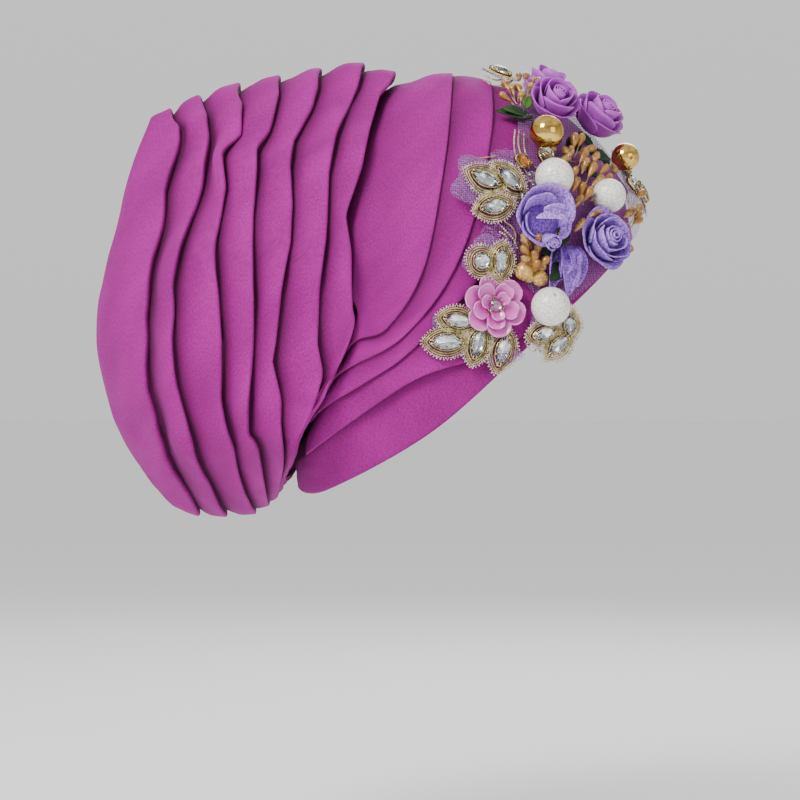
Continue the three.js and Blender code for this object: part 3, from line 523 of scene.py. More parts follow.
def makeFleckGroup():  # small cells for glitter and pebbled cloth
    group, source, sink = shaderGroup("fleckGrain", [("Vector", None), ("Scale", 900.0), ("Soft", 0.5)],
                                      ["Cells", "Grain"])
    cells, grain = newNodes(group, "ShaderNode", "TexVoronoi TexNoise")
    wire(group, (source, "Vector", cells, "Vector"), (source, "Scale", cells, "Scale"),
         (source, "Vector", grain, "Vector"),
         (cells, "Distance", sink, "Cells"), (grain, 0, sink, "Grain"))
    scale = mathNode(group, "MULTIPLY", source.outputs["Scale"], source.outputs["Soft"])
    group.links.new(scale, grain.inputs["Scale"])
    return group


crepeGroup, fleckGroup = makeCrepeGroup(), makeFleckGroup()


def linear(hexCode):
    values = [int(hexCode[i:i + 2], 16) / 255 for i in (1, 3, 5)]
    return [v / 12.92 if v <= 0.04045 else ((v + 0.055) / 1.055) ** 2.4 for v in values] + [1]


def rampOf(tree, factor, stops):
    ramp = tree.nodes.new("ShaderNodeValToRGB")
    fillRamp(ramp, [(place, linear(colour)) for place, colour in stops])
    tree.links.new(factor, ramp.inputs[0])
    return ramp.outputs[0]


def newMaterial(name, settings):
    material = bpy.data.materials.new(name)
    material.use_nodes = True
    shader = material.node_tree.nodes["Principled BSDF"]
    for label, value in settings.items():
        shader.inputs[label].default_value = value
    return material, material.node_tree, shader


def paintedLightOf(tree):
    node = tree.nodes.new("ShaderNodeAttribute")
    node.attribute_name = "tone"
    return node.outputs["Fac"]


def placeVector(tree, kind="Object"):
    return tree.nodes.new("ShaderNodeTexCoord").outputs[kind]


def addGroup(tree, group, vector, values):
    node = tree.nodes.new("ShaderNodeGroup")
    node.node_tree = group
    tree.links.new(vector, node.inputs["Vector"])
    for label, value in values.items():
        node.inputs[label].default_value = value
    return node


def mixColour(tree, kind, factor, a, b):
    node = tree.nodes.new("ShaderNodeMix")
    node.data_type, node.blend_type = "RGBA", kind
    for socket, value in ((node.inputs[0], factor), (node.inputs[6], a), (node.inputs[7], b)):
        if isinstance(value, (int, float, list, tuple)):
            socket.default_value = value
        else:
            tree.links.new(value, socket)
    return node.outputs[2]


def bumpFrom(tree, shader, height, strength, distance):
    node = tree.nodes.new("ShaderNodeBump")
    node.inputs["Strength"].default_value = strength
    node.inputs["Distance"].default_value = distance
    tree.links.new(height, node.inputs["Height"])
    tree.links.new(node.outputs[0], shader.inputs["Normal"])


def grainedLook(name, settings, group, values, tones, layers, bump, space="Object"):  # ramp of the painted light and shade in the tone attribute, under layers of grain
    material, tree, shader = newMaterial(name, settings)
    grain = addGroup(tree, group, placeVector(tree, space), values)
    colour = rampOf(tree, paintedLightOf(tree), tones)
    for output, share, stops in layers:
        colour = mixColour(tree, "MULTIPLY", share, colour, rampOf(tree, grain.outputs[output], stops))
    tree.links.new(colour, shader.inputs["Base Color"])
    bumpFrom(tree, shader, grain.outputs[bump[0]], *bump[1:])
    return material


def makePearl():
    settings = {"Roughness": 0.32, "Coat Weight": 0.5, "Coat Roughness": 0.12, "Subsurface Weight": 0.15,
                "Subsurface Radius": (0.004, 0.004, 0.004), "Subsurface Scale": 1.0}
    material, tree, shader = newMaterial("frostedPearl", settings)
    flecks = addGroup(tree, fleckGroup, placeVector(tree), {"Scale": 1000.0, "Soft": 0.5})
    rings = tree.nodes.new("ShaderNodeSeparateXYZ")
    tree.links.new(placeVector(tree, "UV"), rings.inputs[0])
    wave = mathNode(tree, "SINE", mathNode(tree, "MULTIPLY", rings.outputs[1], 95.0))
    mask = mathNode(tree, "MULTIPLY", mathNode(tree, "ADD", wave, 1.0), 0.5)
    speck = rampOf(tree, flecks.outputs["Cells"], [(0.2, "#8E897E"), (0.5, "#F4F2EC")])
    base = mixColour(tree, "MIX", mask, linear("#F8F6F2"), linear("#EEEBE6"))
    tree.links.new(mixColour(tree, "MULTIPLY", 0.75, base, speck), shader.inputs["Base Color"])
    relief = mathNode(tree, "ADD", mathNode(tree, "MULTIPLY", mask, 0.35), flecks.outputs["Cells"])
    bumpFrom(tree, shader, relief, 0.35, 0.0003)
    return material


def makeGold(name, colour, roughness, wear):
    material, tree, shader = newMaterial(name, {"Metallic": 1.0, "Roughness": roughness})
    marks = addGroup(tree, fleckGroup, placeVector(tree), {"Scale": 500.0, "Soft": 0.4})
    tone = rampOf(tree, marks.outputs["Grain"], [(0.3, wear), (0.65, colour)])
    tree.links.new(tone, shader.inputs["Base Color"])
    level = mathNode(tree, "MULTIPLY", marks.outputs["Grain"], roughness * 0.8)
    tree.links.new(mathNode(tree, "ADD", level, roughness * 0.6), shader.inputs["Roughness"])
    bumpFrom(tree, shader, marks.outputs["Grain"], 0.05, 0.0002)
    return material


def makeGlass(name, colour):
    return newMaterial(name, {"Base Color": linear(colour), "Roughness": 0.02, "IOR": 1.58,
                              "Transmission Weight": 1.0})[0]


def makeFoil(name, dark, light):
    # Painted reflection: each facet's random tone picks a foil colour from dark to light
    material, tree, shader = newMaterial(name, {"Metallic": 1.0, "Roughness": 0.08})
    tree.links.new(rampOf(tree, paintedLightOf(tree), [(0, dark), (1, light)]), shader.inputs["Base Color"])
    return material


def makePip(name, dark, light, bump):
    material, tree, shader = newMaterial(name, {"Roughness": 0.36, "Coat Weight": 0.35, "Coat Roughness": 0.25,
                                                "Metallic": 0.35})
    grain = addGroup(tree, fleckGroup, placeVector(tree), {"Scale": 800.0, "Soft": 0.4})
    tone = rampOf(tree, grain.outputs["Grain"], [(0.3, dark), (0.7, light)])
    shade = rampOf(tree, paintedLightOf(tree), [(0, "#8A6A48"), (0.6, "#FFFFFF")])
    tree.links.new(mixColour(tree, "MULTIPLY", 0.35, tone, shade), shader.inputs["Base Color"])
    bumpFrom(tree, shader, grain.outputs["Grain"], bump, 0.0004)
    return material


def makeTulle(name, colour, cell, thread, film):
    material, tree, shader = newMaterial(name, {"Roughness": 0.6, "Sheen Weight": 0.2})
    cells = tree.nodes.new("ShaderNodeTexVoronoi")
    cells.feature = "DISTANCE_TO_EDGE"
    cells.inputs["Scale"].default_value = cell
    cells.inputs["Randomness"].default_value = 0.35
    tree.links.new(placeVector(tree), cells.inputs["Vector"])
    mask = mathNode(tree, "LESS_THAN", cells.outputs["Distance"], thread)
    alpha = mathNode(tree, "MAXIMUM", mask, film)
    tree.links.new(alpha, shader.inputs["Alpha"])
    tree.links.new(mixColour(tree, "MIX", mask, linear(colour), linear("#8A5C9C")), shader.inputs["Base Color"])
    return material


def makeThread(name, dark, light, metallic, roughness):
    material, tree, shader = newMaterial(name, {"Metallic": metallic, "Roughness": roughness})
    grain = addGroup(tree, crepeGroup, placeVector(tree), {"Across": 1800.0, "Along": 1800.0, "Mottle Scale": 400.0})
    tree.links.new(rampOf(tree, grain.outputs["Mottle"], [(0.3, dark), (0.7, light)]), shader.inputs["Base Color"])
    bumpFrom(tree, shader, grain.outputs["Height"], 0.6, 0.0003)
    return material


# Each first ramp below colours the painted light and shade of the tone attribute; the grain and mottle layers are the
# cloth's own
crepe = grainedLook(
    "crepeCloth", {"Roughness": 0.78, "Sheen Weight": 0.12, "Sheen Roughness": 0.4, "Sheen Tint": linear("#E070D0"),
                   "Specular IOR Level": 0.2},
    crepeGroup, {"Across": 1900.0, "Along": 700.0, "Mottle Scale": 26.0},
    [(0, "#34042D"), (0.25, "#650A50"), (0.6, "#98127F"), (1, "#AC1A92")],
    [("Height", 0.55, [(0.32, "#8E8E8E"), (0.68, "#FFFFFF")]), ("Mottle", 0.6, [(0.3, "#C9C9C9"), (0.7, "#FFFFFF")])],
    ("Height", 0.55, 0.0005), "UV")
satin = grainedLook(
    "satinRibbon", {"Roughness": 0.5, "Sheen Weight": 0.12, "Sheen Tint": linear("#E8A0F0"),
                    "Specular IOR Level": 0.35},
    crepeGroup, {"Across": 900.0, "Along": 900.0, "Mottle Scale": 120.0},
    [(0, "#4C0650"), (0.3, "#821A8A"), (0.58, "#A63CB2"), (1, "#BE5CC8")],
    [("Mottle", 0.5, [(0.3, "#DDDDDD"), (0.7, "#FFFFFF")])], ("Height", 0.12, 0.0003))
chiffon = grainedLook(
    "pebbledChiffon", {"Roughness": 0.9, "Sheen Weight": 0.15, "Sheen Tint": linear("#C8A8FF"),
                       "Specular IOR Level": 0.2},
    fleckGroup, {"Scale": 1500.0, "Soft": 0.6}, [(0, "#55308A"), (0.35, "#8A58BE"), (0.65, "#AE7EDC"), (1, "#D0A4F6")],
    [("Grain", 0.75, [(0.38, "#806AA6"), (0.6, "#FFFFFF")])], ("Grain", 0.6, 0.0005))
sequin = grainedLook(
    "pearlySequin", {"Roughness": 0.22, "Coat Weight": 0.6, "Coat Roughness": 0.1}, fleckGroup,
    {"Scale": 160.0, "Soft": 0.5},
    [(0, "#94127A"), (0.4, "#C63CA6"), (0.75, "#E078C8"), (1, "#F4BEE6")],
    [("Grain", 0.5, [(0.3, "#D8D0D8"), (0.7, "#FFFFFF")])], ("Grain", 0.1, 0.0004))
leafCloth = grainedLook(
    "leafCloth", {"Roughness": 0.7, "Specular IOR Level": 0.3}, crepeGroup,
    {"Across": 700.0, "Along": 700.0, "Mottle Scale": 300.0},
    [(0, "#0A170A"), (0.5, "#1E3A1C"), (1, "#4A7428")], [("Mottle", 0.5, [(0.3, "#B0B0B0"), (0.7, "#FFFFFF")])],
    ("Height", 0.3, 0.0004))
pearl = makePearl()
gold = makeGold("mirrorGold", "#E2C06A", 0.09, "#B98C36")
settingGold = makeGold("settingGold", "#D8C48C", 0.2, "#8A7440")
clearGlass, amberGlass = makeGlass("clearCrystal", "#FBFDFF"), makeGlass("amberCrystal", "#F8BC50")
silverFoil, amberFoil = makeFoil("silverFoil", "#54585C", "#FFFFFF"), makeFoil("amberFoil", "#A86414", "#FFD070")
smoothPip, roughPip = makePip("smoothPip", "#80551F", "#B27E38", 0.05), makePip("roughPip", "#6A4520", "#CDA05C", 0.5)
glitterBall = makePip("glitterBall", "#B07C2E", "#F0CC78", 0.5)
tulle = makeTulle("lilacTulle", "#77488E", 800.0, 0.045, 0.0)
laceNet = makeTulle("laceNet", "#744880", 1000.0, 0.055, 0.1)
cordThread = makeThread("goldCord", "#77683A", "#CFBE86", 0.45, 0.42)
picotThread = makeThread("picotThread", "#A58F78", "#E4D6C2", 0.1, 0.6)
print("materials ready")

# Cloth of the back, crown and band
# Share of the way to the next fold, level as a share of the fold's height, and shift in millimetres
foldProfile = [
    (0.0, -1.0, 0), (0.015, -0.985, 0), (0.05, -0.92, 0), (0.11, -0.83, 0), (0.19, -0.7, 0), (0.29, -0.56, 0),
    (0.4, -0.41, 0), (0.52, -0.27, 0), (0.64, -0.16, 0), (0.75, -0.08, 0), (0.85, -0.03, 0), (0.92, 0.0, 0),
    (0.965, 0.0, 0), (0.99, -0.06, 0), (1.0, -0.2, 0.2), (1.0, -0.42, 0.15), (1.0, -0.66, -0.5), (1.0, -0.86, -1.3),
]
foldShape = {"steepest": 0.34, "tuckAt": 0.71, "tuckSpread": 0.1, "startRoom": 0.02, "sink": 0.0025, "pull": 0.0075,
             "mostBack": 0.3, "slack": 0.0005, "calmUntil": 0.45, "low": 0.8, "lowShade": 0.15}
# Waves: direction, length and height in millimetres, start angle
# floor, here and in crownCloth, is the darkest value of the painted shade in the fold grooves
backCloth = {
    "columns": 220, "under": 1.8, "wobble": 0.2, "tracked": True, "floor": 0.26,
    "waves": [((0.9, 0.1, -0.15), 13, 0.28, 0.6), ((0.8, 0.3, 0.5), 31, 0.4, 2.1), ((0.5, -0.4, 0.8), 47, 0.5, 4.0),
              ((1.0, 0.0, 0.1), 9, 0.15, 1.3), ((0.2, 0.5, 1.0), 62, 1.3, 3.0), ((-0.35, 0.3, 1.0), 38, 1.0, 0.9),
              ((0.8, 0.0, 0.55), 24, 0.7, 2.4)],
}
crownCloth = {
    "columns": 190, "rise": 0.0019, "tuckIn": 0.5, "under": 1.5, "wobble": 0.2, "floor": 0.45,
    "waves": [
        ((0.75, 0.2, 0.65), 34, 0.55, 0.4), ((0.95, 0.1, -0.3), 21, 0.3, 1.9), ((0.6, 0.3, 0.75), 15, 0.16, 3.2),
        ((0.3, 0.5, 0.9), 52, 0.6, 5.0),
    ],
}
bandCloth = {
    "columns": 240, "rows": 15,
    "waves": [((0.4, 0.2, 1.0), 9, 0.18, 0.3), ((1.0, 0.4, 0.3), 44, 0.3, 2.6), ((0.7, 0.6, 0.7), 27, 0.22, 4.4)],
}


def clothWaves(points, waves):
    out = 0
    for direction, length, high, start in waves:
        d = np.array(direction) / np.linalg.norm(direction)
        turn = points @ d / (length * mm) * 2 * math.pi + start
        sway = np.sin(points @ np.array([d[2], 0.6, -d[0]]) / (length * 2.7 * mm) * 2 * math.pi + start * 2)
        out = out + high * mm * np.sin(turn + 1.3 * sway) * (0.55 + 0.45 * np.sin(turn * 0.23 + start + sway))
    return out


def nextWhole(drape, fold, last, v, whole):
    return whole if fold == last else np.linalg.norm(drape.at(fold + 1, v) - drape.at(fold, v), axis=1)


def tuckedPlace(drape, k, v):  # runs straight on behind the first line
    ahead = drape.at(np.maximum(k, 0), v)
    if np.all(k >= 0):
        return ahead
    return ahead + np.minimum(k, 0)[:, None] * (drape.at(0.08, v) - drape.at(0, v)) / 0.08


def calmTop(row, v, weight):  # straightens the upper end of the tail
    near = np.abs(v) < 0.05
    a, b = row[np.argmin(np.abs(v - 0.05))], row[np.argmin(np.abs(v + 0.05))]
    share = (np.clip(v / 0.05, -1, 1) + 1)[:, None] / 2
    return np.where(near[:, None], row * (1 - weight) + (b + (a - b) * share) * weight, row)


def pulledIn(place, depth):  # towards the middle plane, so that a tucked edge stays under its neighbour
    return place - np.outer(np.clip(place[:, 1] / 0.02, -1, 1) * depth, (0, 1, 0))


def pleatedRows(drape, last, rise, lap, startDrop, settings, v):
    outer, inner, tones, lastBend, tuck = [], [], [], 0, 0
    if lap:
        tuck = 2 + settings["tuckIn"] * np.exp(-((np.abs(v) - foldShape["tuckAt"]) / foldShape["tuckSpread"]) ** 2)
    for fold in range(1, last + 1):
        first = fold == 1
        share = startDrop if first else 1
        whole = np.linalg.norm(drape.at(fold, v) - drape.at(fold - 1, v), axis=1)
        high = np.minimum(rise, foldShape["steepest"] * whole)
        bend = edgeShift(fold, drape.at(fold, v), v) / whole if settings.get("tracked") else 0
        wobble = settings["wobble"] * mm * np.sin(v * 23 + fold * 2.1) * np.sin(v * 9 + fold) / whole
        for part, level, shift in foldProfile:
            if part == 0:
                shift = -lap / mm * tuck if first else -settings["under"]
            if fold == last and part == 1.0:
                shift = max(shift, 0) if level > -0.5 else None
            if shift is None:
                continue
            k = fold - 1 + part + shift * mm / whole
            if first and not lap:
                k = k + foldShape["startRoom"] * (1 - part)
            k = k + wobble * np.sin(math.pi * min(part, 1) * 0.5) + bend * part ** 2 + lastBend * (1 - part) ** 2
            hidden = first and lap and part == 0
            sink, pull = (foldShape["sink"], foldShape["pull"]) if hidden else (0, 0)
            base = pulledIn(tuckedPlace(drape, k, v), pull)
            out = drape.normal(np.clip(k, 0 if lap else -9, last), v)
            groove = share if level < 0 and part < 0.9 else 1
            drop = level * high * groove - sink
            ripple = clothWaves(base, settings["waves"]) * min(1, 0.25 + 1.6 * part)
            back = capSizes["cloth"] / whole if (part < 0.03 and not first) or part > 0.97 else 0
            behind = pulledIn(tuckedPlace(drape, k - np.minimum(back, foldShape["mostBack"]), v), pull)
            outer.append(base + out * (drop + ripple)[:, None])
            inner.append(behind + out * (drop - capSizes["cloth"] + np.minimum(ripple + foldShape["slack"], 0))[:,
                    None])
            if first and not lap:
                weight = max(0, 1 - part / foldShape["calmUntil"])
                outer[-1], inner[-1] = (calmTop(row, v, weight) for row in (outer[-1], inner[-1]))
            # Painted shade: darker down each groove and under each fold's edge, and darker where a fold is low; it
            # never goes below the settings' floor value
            shade = 1 + level * 1.15 * share if part < 0.9 else 1 + level * 1.25
            shade = shade - foldShape["lowShade"] * (high < foldShape["low"] * rise)
            tones.append(np.clip(settings["floor"] + (1 - settings["floor"]) * shade, 0, 1))
        lastBend = bend * whole / nextWhole(drape, fold, last, v, whole)
    return np.array(outer), np.array(inner), np.array(tones)


def clothUv(grid):
    across = np.cumsum(np.linalg.norm(np.diff(grid, axis=0, prepend=grid[:1]), axis=2), axis=0)
    along = np.cumsum(np.linalg.norm(np.diff(grid, axis=1, prepend=grid[:, :1]), axis=2), axis=1)
    return np.stack([across, along], 2).reshape(-1, 2)


def addWall(piece, outer, inner, tones, loop, closedStart=False):  # closed cloth wall with rounded free edges
    def roundEdge(a, b, beyond):
        middle = (a + b) / 2
        ahead = beyond / np.maximum(np.linalg.norm(beyond, axis=-1, keepdims=True), 1e-9) * capSizes["edgeRound"]
        return [a * 0.8 + b * 0.2 + ahead * 0.7, middle + ahead, a * 0.2 + b * 0.8 + ahead * 0.7]
    columns = outer.shape[1]
    layers = [outer, np.array(roundEdge(outer[-1], inner[-1], outer[-1] - outer[-2])), inner[::-1]]
    # Painted shade: the rounded edges at 0.8 and the inner face at half of the outer face's tone
    paintedShadeRows = [tones, np.repeat(tones[-1:], 3, 0) * 0.8, tones[::-1] * 0.5]
    if not closedStart:
        layers.append(np.array(roundEdge(inner[0], outer[0], outer[0] - outer[1])))
        paintedShadeRows.append(np.repeat(tones[:1], 3, 0) * 0.8)
    grid, tone = np.vstack(layers), np.vstack(paintedShadeRows)
    total = len(grid)
    faces = gridFaces(total, columns, loop)
    if not closedStart:
        for c in range(columns if loop else columns - 1):
            n = (c + 1) % columns
            faces.append(((total - 1) * columns + c, (total - 1) * columns + n, n, c))
    else:
        for start in (0, (total - 1) * columns):
            for c in range(columns // 2):
                four = [start + c, start + c + 1, start + (columns - c - 1) % columns, start + (columns - c) % columns]
                faces.append(tuple(dict.fromkeys(four)))
    if not loop:
        for c in (0, columns - 1):
            for i in range(total // 2):
                j, n = total - 1 - i, total - 2 - i
                if i + 1 < n:
                    faces.append((i * columns + c, (i + 1) * columns + c, n * columns + c, j * columns + c))
                elif i + 1 == n:
                    faces.append((i * columns + c, (i + 1) * columns + c, j * columns + c))
    piece.add(grid.reshape(-1, 3), faces, tone.reshape(-1), 0, clothUv(grid))


def ringColumns(count):
    half = count // 2
    return np.concatenate([np.arange(half + 1) / half, -np.arange(half - 1, 0, -1) / half])


def makeBackCloth():
    outer, inner, tones = pleatedRows(backDrape, 7, capSizes["foldHeight"], 0, 0.3, backCloth,
                                      ringColumns(backCloth["columns"]))
    piece = Piece()
    addWall(piece, outer, inner, tones, True, True)
    return finishPiece(piece.build("back_cloth", [crepe]), ["slouch_back"])


def makeCrownCloth():
    v = np.linspace(-capSizes["reach"], capSizes["reach"], crownCloth["columns"])
    outer, inner, tones = pleatedRows(crownDrape, 4, crownCloth["rise"], capSizes["foldLap"], 0.9, crownCloth, v)
    piece = Piece()
    addWall(piece, outer, inner, tones, False)
    return finishPiece(piece.build("crown_cloth", [crepe]), ["tucked_crown"])


def makeBandCloth():
    v = ringColumns(bandCloth["columns"])
    tall = np.linalg.norm(bandDrape.at(1, v) - bandDrape.at(0, v), axis=1)
    outer, inner, tones = [], [], []
    levels = np.concatenate([[-5, -3, -1, -0.5], np.linspace(0, 1, bandCloth["rows"])])
    for level in levels:
        k = max(level, 0) - np.minimum(capSizes["bandLap"] * max(-level, 0) / tall, 0.9)
        depth = capSizes["layerGap"] / 2 * max(-level, 0)
        base, out = bandDrape.at(k, v), bandDrape.normal(np.maximum(k, 0), v)
        fullness = max(0, math.sin(math.pi * min(max(level, 0), 1)) * 0.7 + 0.25 * (level > 0))
        ripple = clothWaves(base, bandCloth["waves"]) * fullness
        outer.append(base + out * (ripple - depth)[:, None])
        inner.append(base - out * (depth + capSizes["cloth"]))
        # Painted shade: the tucked part darkest, and darker near the band's upper edge under the crown
        tones.append(np.full(len(v), 0.25 if level < 0 else 0.45 + 0.3 * min(level * 4, 1)))
    piece = Piece()
    addWall(piece, np.array(outer), np.array(inner), np.array(tones), True)
    return finishPiece(piece.build("band_cloth", [crepe]), ["head_band"])


backPiece, crownPiece, bandPiece = makeBackCloth(), makeCrownCloth(), makeBandCloth()
print("cloth ready")

# Net under the flowers and lace under the stones
netSizes = {"thick": 0.0004, "rows": 10}
netOutline = [
    (2.35, 0.02), (2.4, 0.14), (2.45, 0.27), (3.1, 0.33), (4.0, 0.325), (4.75, 0.24), (4.8, 0.08), (4.5, -0.05),
    (3.5, -0.065), (2.75, -0.07),
]


def addPlate(piece, k, v, centre, low, thick, rings):  # thin sheet on the crown from a centre and an outline
    points = []
    kc, vc = centre
    for level in (low + thick, low):
        for r in np.linspace(0, 1, rings):
            kk, vv = kc + (k - kc) * max(r, 0.02), vc + (v - vc) * max(r, 0.02)
            points.append(crownDrape.at(kk, vv) + crownDrape.normal(kk, vv) * level)
    addLayers(piece, np.array(points).reshape(-1, 3), len(k), rings)


def addLayers(piece, points, n, rings):  # two round grids of points, closed into a plate
    faces = gridFaces(rings, n, True) + [tuple(rings * n + i for i in f[::-1]) for f in gridFaces(rings, n, True)]
    faces += [tuple(range(n)), tuple(range(rings * n, rings * n + n))[::-1]]
    a, b = (rings - 1) * n, (2 * rings - 1) * n
    faces += [(a + i, a + (i + 1) % n, b + (i + 1) % n, b + i) for i in range(n)]
    piece.add(points, faces)


def makeNet():
    outline = np.array(netOutline)
    turns = np.linspace(0, len(outline), 81)[:-1]
    k, v = (np.interp(turns, np.arange(len(outline) + 1), np.append(outline[:, i], outline[0, i])) for i in (0, 1))
    piece = Piece()
    addPlate(piece, k, v, outline.mean(0), 0.0022, netSizes["thick"], netSizes["rows"])
    return finishPiece(piece.build("net_sheet", [tulle]), ["net_ground"])


laceRows = {
    "lace_rear": (2.14, 0.27, -20, 2.1, 1.7, 5), "lace_middle": (2.83, 0.345, 20, 1.5, 1.15, 4),
    "lace_lower": (3.5, 0.46, -8, 2.2, 1.35, 5), "lace_rim": (5.4, 0.352, 20, 1.5, 1.25, 3),
    "lace_front": (3.95, -0.005, 90, 1.5, 1.1, 4), "lace_top": (2.12, 0.02, 90, 1.3, 0.9, 3),
}
laceSizes = {"stone": 0.018, "thick": 0.0005, "lobe": 0.13, "low": 0.0006, "rings": 7, "corners": 72}


def makeLaceGrounds():
    for name, (k, v, turn, wide, long, lobes) in laceRows.items():
        angle = np.arange(laceSizes["corners"]) / laceSizes["corners"] * 2 * math.pi
        r = 0.5 * laceSizes["stone"] * (1 + laceSizes["lobe"] * np.cos(lobes * angle))
        outline = np.stack([r * wide * np.cos(angle), r * long * np.sin(angle)], 1)
        piece = Piece()
        if k > 5:  # hangs flat past the rim
            m = seatedFrame(name, k, v, turn)
            levels = (laceSizes["low"] + laceSizes["thick"], laceSizes["low"])
            grid = [np.hstack([outline * max(q, 0.02), np.full((len(outline), 1), level)])
                    for level in levels for q in np.linspace(0, 1, laceSizes["rings"])]
            addLayers(piece, turnPoints(m, np.vstack(grid)), len(outline), laceSizes["rings"])
        else:
            addLaceOnCrown(piece, name, k, v, turn, outline)
        sheet = finishPiece(piece.build(name + "_net", [laceNet]), [name])


def addLaceOnCrown(piece, name, k, v, turn, outline):
    ks, vs = settle(k, v, turn, outline)
    middle = crownDrape.at(k, v)
    n = crownDrape.normal(k, v)
    verts = np.array([p.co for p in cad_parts[name].data.vertices])
    away = verts - middle - n * np.clip((verts - middle) @ n, 0, None)[:, None]
    near = verts[np.linalg.norm(away, axis=1) < 0.004]
    low = float(((near if len(near) else verts) - middle).dot(n).max()) - laceSizes["low"]
    addPlate(piece, ks, vs, (k, v), low, laceSizes["thick"], laceSizes["rings"])


netPiece = makeNet()
makeLaceGrounds()
print("net and lace ready")

# Ribbon roses: place on the crown, turn, then width, length and height in millimetres
satinRoses = {
    "satin_rose_top": (2.72, -0.04, 20, 28, 25.2, 20.7), "satin_rose_rear": (2.78, 0.082, 70, 26.9, 25.2, 18.5),
    "satin_rose_front": (3.3, 0.02, 140, 27.4, 28, 19.6),
}
satinRings = [
    {"petals": 4, "reach": 1.0, "rise": 0.62, "start": 10, "spread": 64, "roll": 0.2},
    {"petals": 3, "reach": 0.79, "rise": 0.86, "start": 55, "spread": 78, "roll": 0.14},
    {"petals": 3, "reach": 0.54, "rise": 0.98, "start": 0, "spread": 80, "roll": 0.07},
]
chiffonRings = [
    {"petals": 4, "reach": 1.0, "rise": 0.55, "start": 20, "spread": 64, "roll": 0.22},
    {"petals": 4, "reach": 0.78, "rise": 0.8, "start": 62, "spread": 68, "roll": 0.12},
    {"petals": 3, "reach": 0.55, "rise": 0.95, "start": 8, "spread": 76, "roll": 0.06},
]


petalThick = 0.0006


def cupPetal(radii, high, angle, spread, roll, seed, ruffle=0.0, rows=9, columns=17):
    s = np.linspace(-1, 1, columns)[None, :]
    t = np.linspace(0, 1, rows)[:, None]
    reach = t * (1 - 0.26 * np.abs(s) ** 3 - 0.08 * (s > 0.3) * (s - 0.3))
    theta = angle + s * spread
    grow = 1 + 0.1 * s + 0.03 * np.sin(3 * s + seed)
    r = (0.3 + 0.7 * np.sin(reach * math.pi / 2) ** 0.8) * grow
    z = high * (1 - np.cos(reach * math.pi / 2)) ** 0.85
    tip = np.clip((reach - 0.72) / 0.28, 0, 1)
    r = r + roll * tip ** 1.5 + ruffle * tip * np.sin(7 * s + seed * 2)
    z = z - roll * high * 0.35 * tip ** 2 + ruffle * high * 0.6 * tip * np.sin(5 * s + seed)
    crease = 0.02 * np.exp(-((s - 0.35 * math.sin(seed)) / 0.12) ** 2) * t
    r = r + crease
    return np.stack([np.cos(theta) * r * radii[0], np.sin(theta) * r * radii[1], z + 0 * s], 2)


def addRose(piece, matrix, rings, wide, long, high, thick, ruffle=0.0, spiral=0.3):
    radii = np.array([wide, long]) / 2
    t = np.linspace(0, 1, 9)[:, None] * np.ones((1, 17))
    for level, ring in enumerate(rings):
        for i in range(ring["petals"]):
            angle = math.radians(ring["start"] + 360 * i / ring["petals"])
            reach, seed = radii * ring["reach"] / (1 + ring["roll"] * 0.4), level * 3.1 + i * 1.7
            grid = cupPetal(reach, high * ring["rise"], angle, math.radians(ring["spread"]), ring["roll"], seed, ruffle)
            # Painted shade: petals darker towards their roots in the heart of the rose
            addSheet(piece, grid, thick, matrix, 0.12 + 0.5 * t, 0.42 + 0.5 * t)
    turns = np.linspace(0, 1, 52)[None, :]
    t = np.linspace(0, 1, 6)[:, None]
    theta, r = turns * 2.6 * 2 * math.pi, spiral * (0.16 + 0.84 * turns)
    rise = high * (0.25 + (0.72 - 0.06 * turns) * t)
    grid = np.stack([np.cos(theta) * r * radii[0] + 0 * t, np.sin(theta) * r * radii[1] + 0 * t, rise], 2)
    addSheet(piece, grid, thick, matrix, 0.1 + 0.6 * t, 0.3 + 0.6 * t)
    # Centre knob at tone 0: a painted dark heart where the rose lies in shade
    addTurned(piece, [(0, 0), (radii[0] * 0.42, 0.0002), (radii[0] * 0.5, high * 0.2), (0, high * 0.35)], 16, matrix,
              0.0)


satinTilts = {  # lean in degrees, and the way it leans
    "satin_rose_top": (34, (-0.2, -0.9, -0.2)), "satin_rose_rear": (8, (-0.3, -0.9, 0.2)),
    "satin_rose_front": (16, (-0.6, -0.8, 0.1)),
}


def tilted(m, high, degrees, towards):  # leans a flower over about its own middle
    pivot = m @ Vector((0, 0, high))
    n = Vector((m[0][2], m[1][2], m[2][2]))
    turn = Matrix.Rotation(math.radians(degrees), 4, n.cross(Vector(towards)).normalized())
    return Matrix.Translation(pivot) @ turn @ Matrix.Translation(-pivot) @ m


def makeSatinRoses():
    for name, (k, v, turn, wide, long, high) in satinRoses.items():
        piece = Piece()
        m = tilted(seatedFrame(name, k, v, turn), high * 0.45 * mm, *satinTilts[name])
        addRose(piece, m, satinRings, wide * mm, long * mm, high * mm, petalThick)
        finishPiece(piece.build(name + "_petals", [satin]), [name])


def leafPetal(long, wide, lift, droop, fold, rows=14, columns=9, tip=0.2):  # a long petal from the origin along +y
    t = np.linspace(0, 1, rows)[:, None]
    s = np.linspace(-1, 1, columns)[None, :]
    half = wide / 2 * (np.sin(math.pi * np.clip(t * 0.86 + 0.1, 0, 1) ** 0.8) * (1 - tip) + tip * (1 - t ** 6))
    x = half * s
    y = long * t + 0 * s
    z = lift * np.sin(t * math.pi / 2) - droop * t ** 2 + fold * np.abs(s) ** 1.6 * half + 0 * s
    return np.stack([x, y, z], 2)


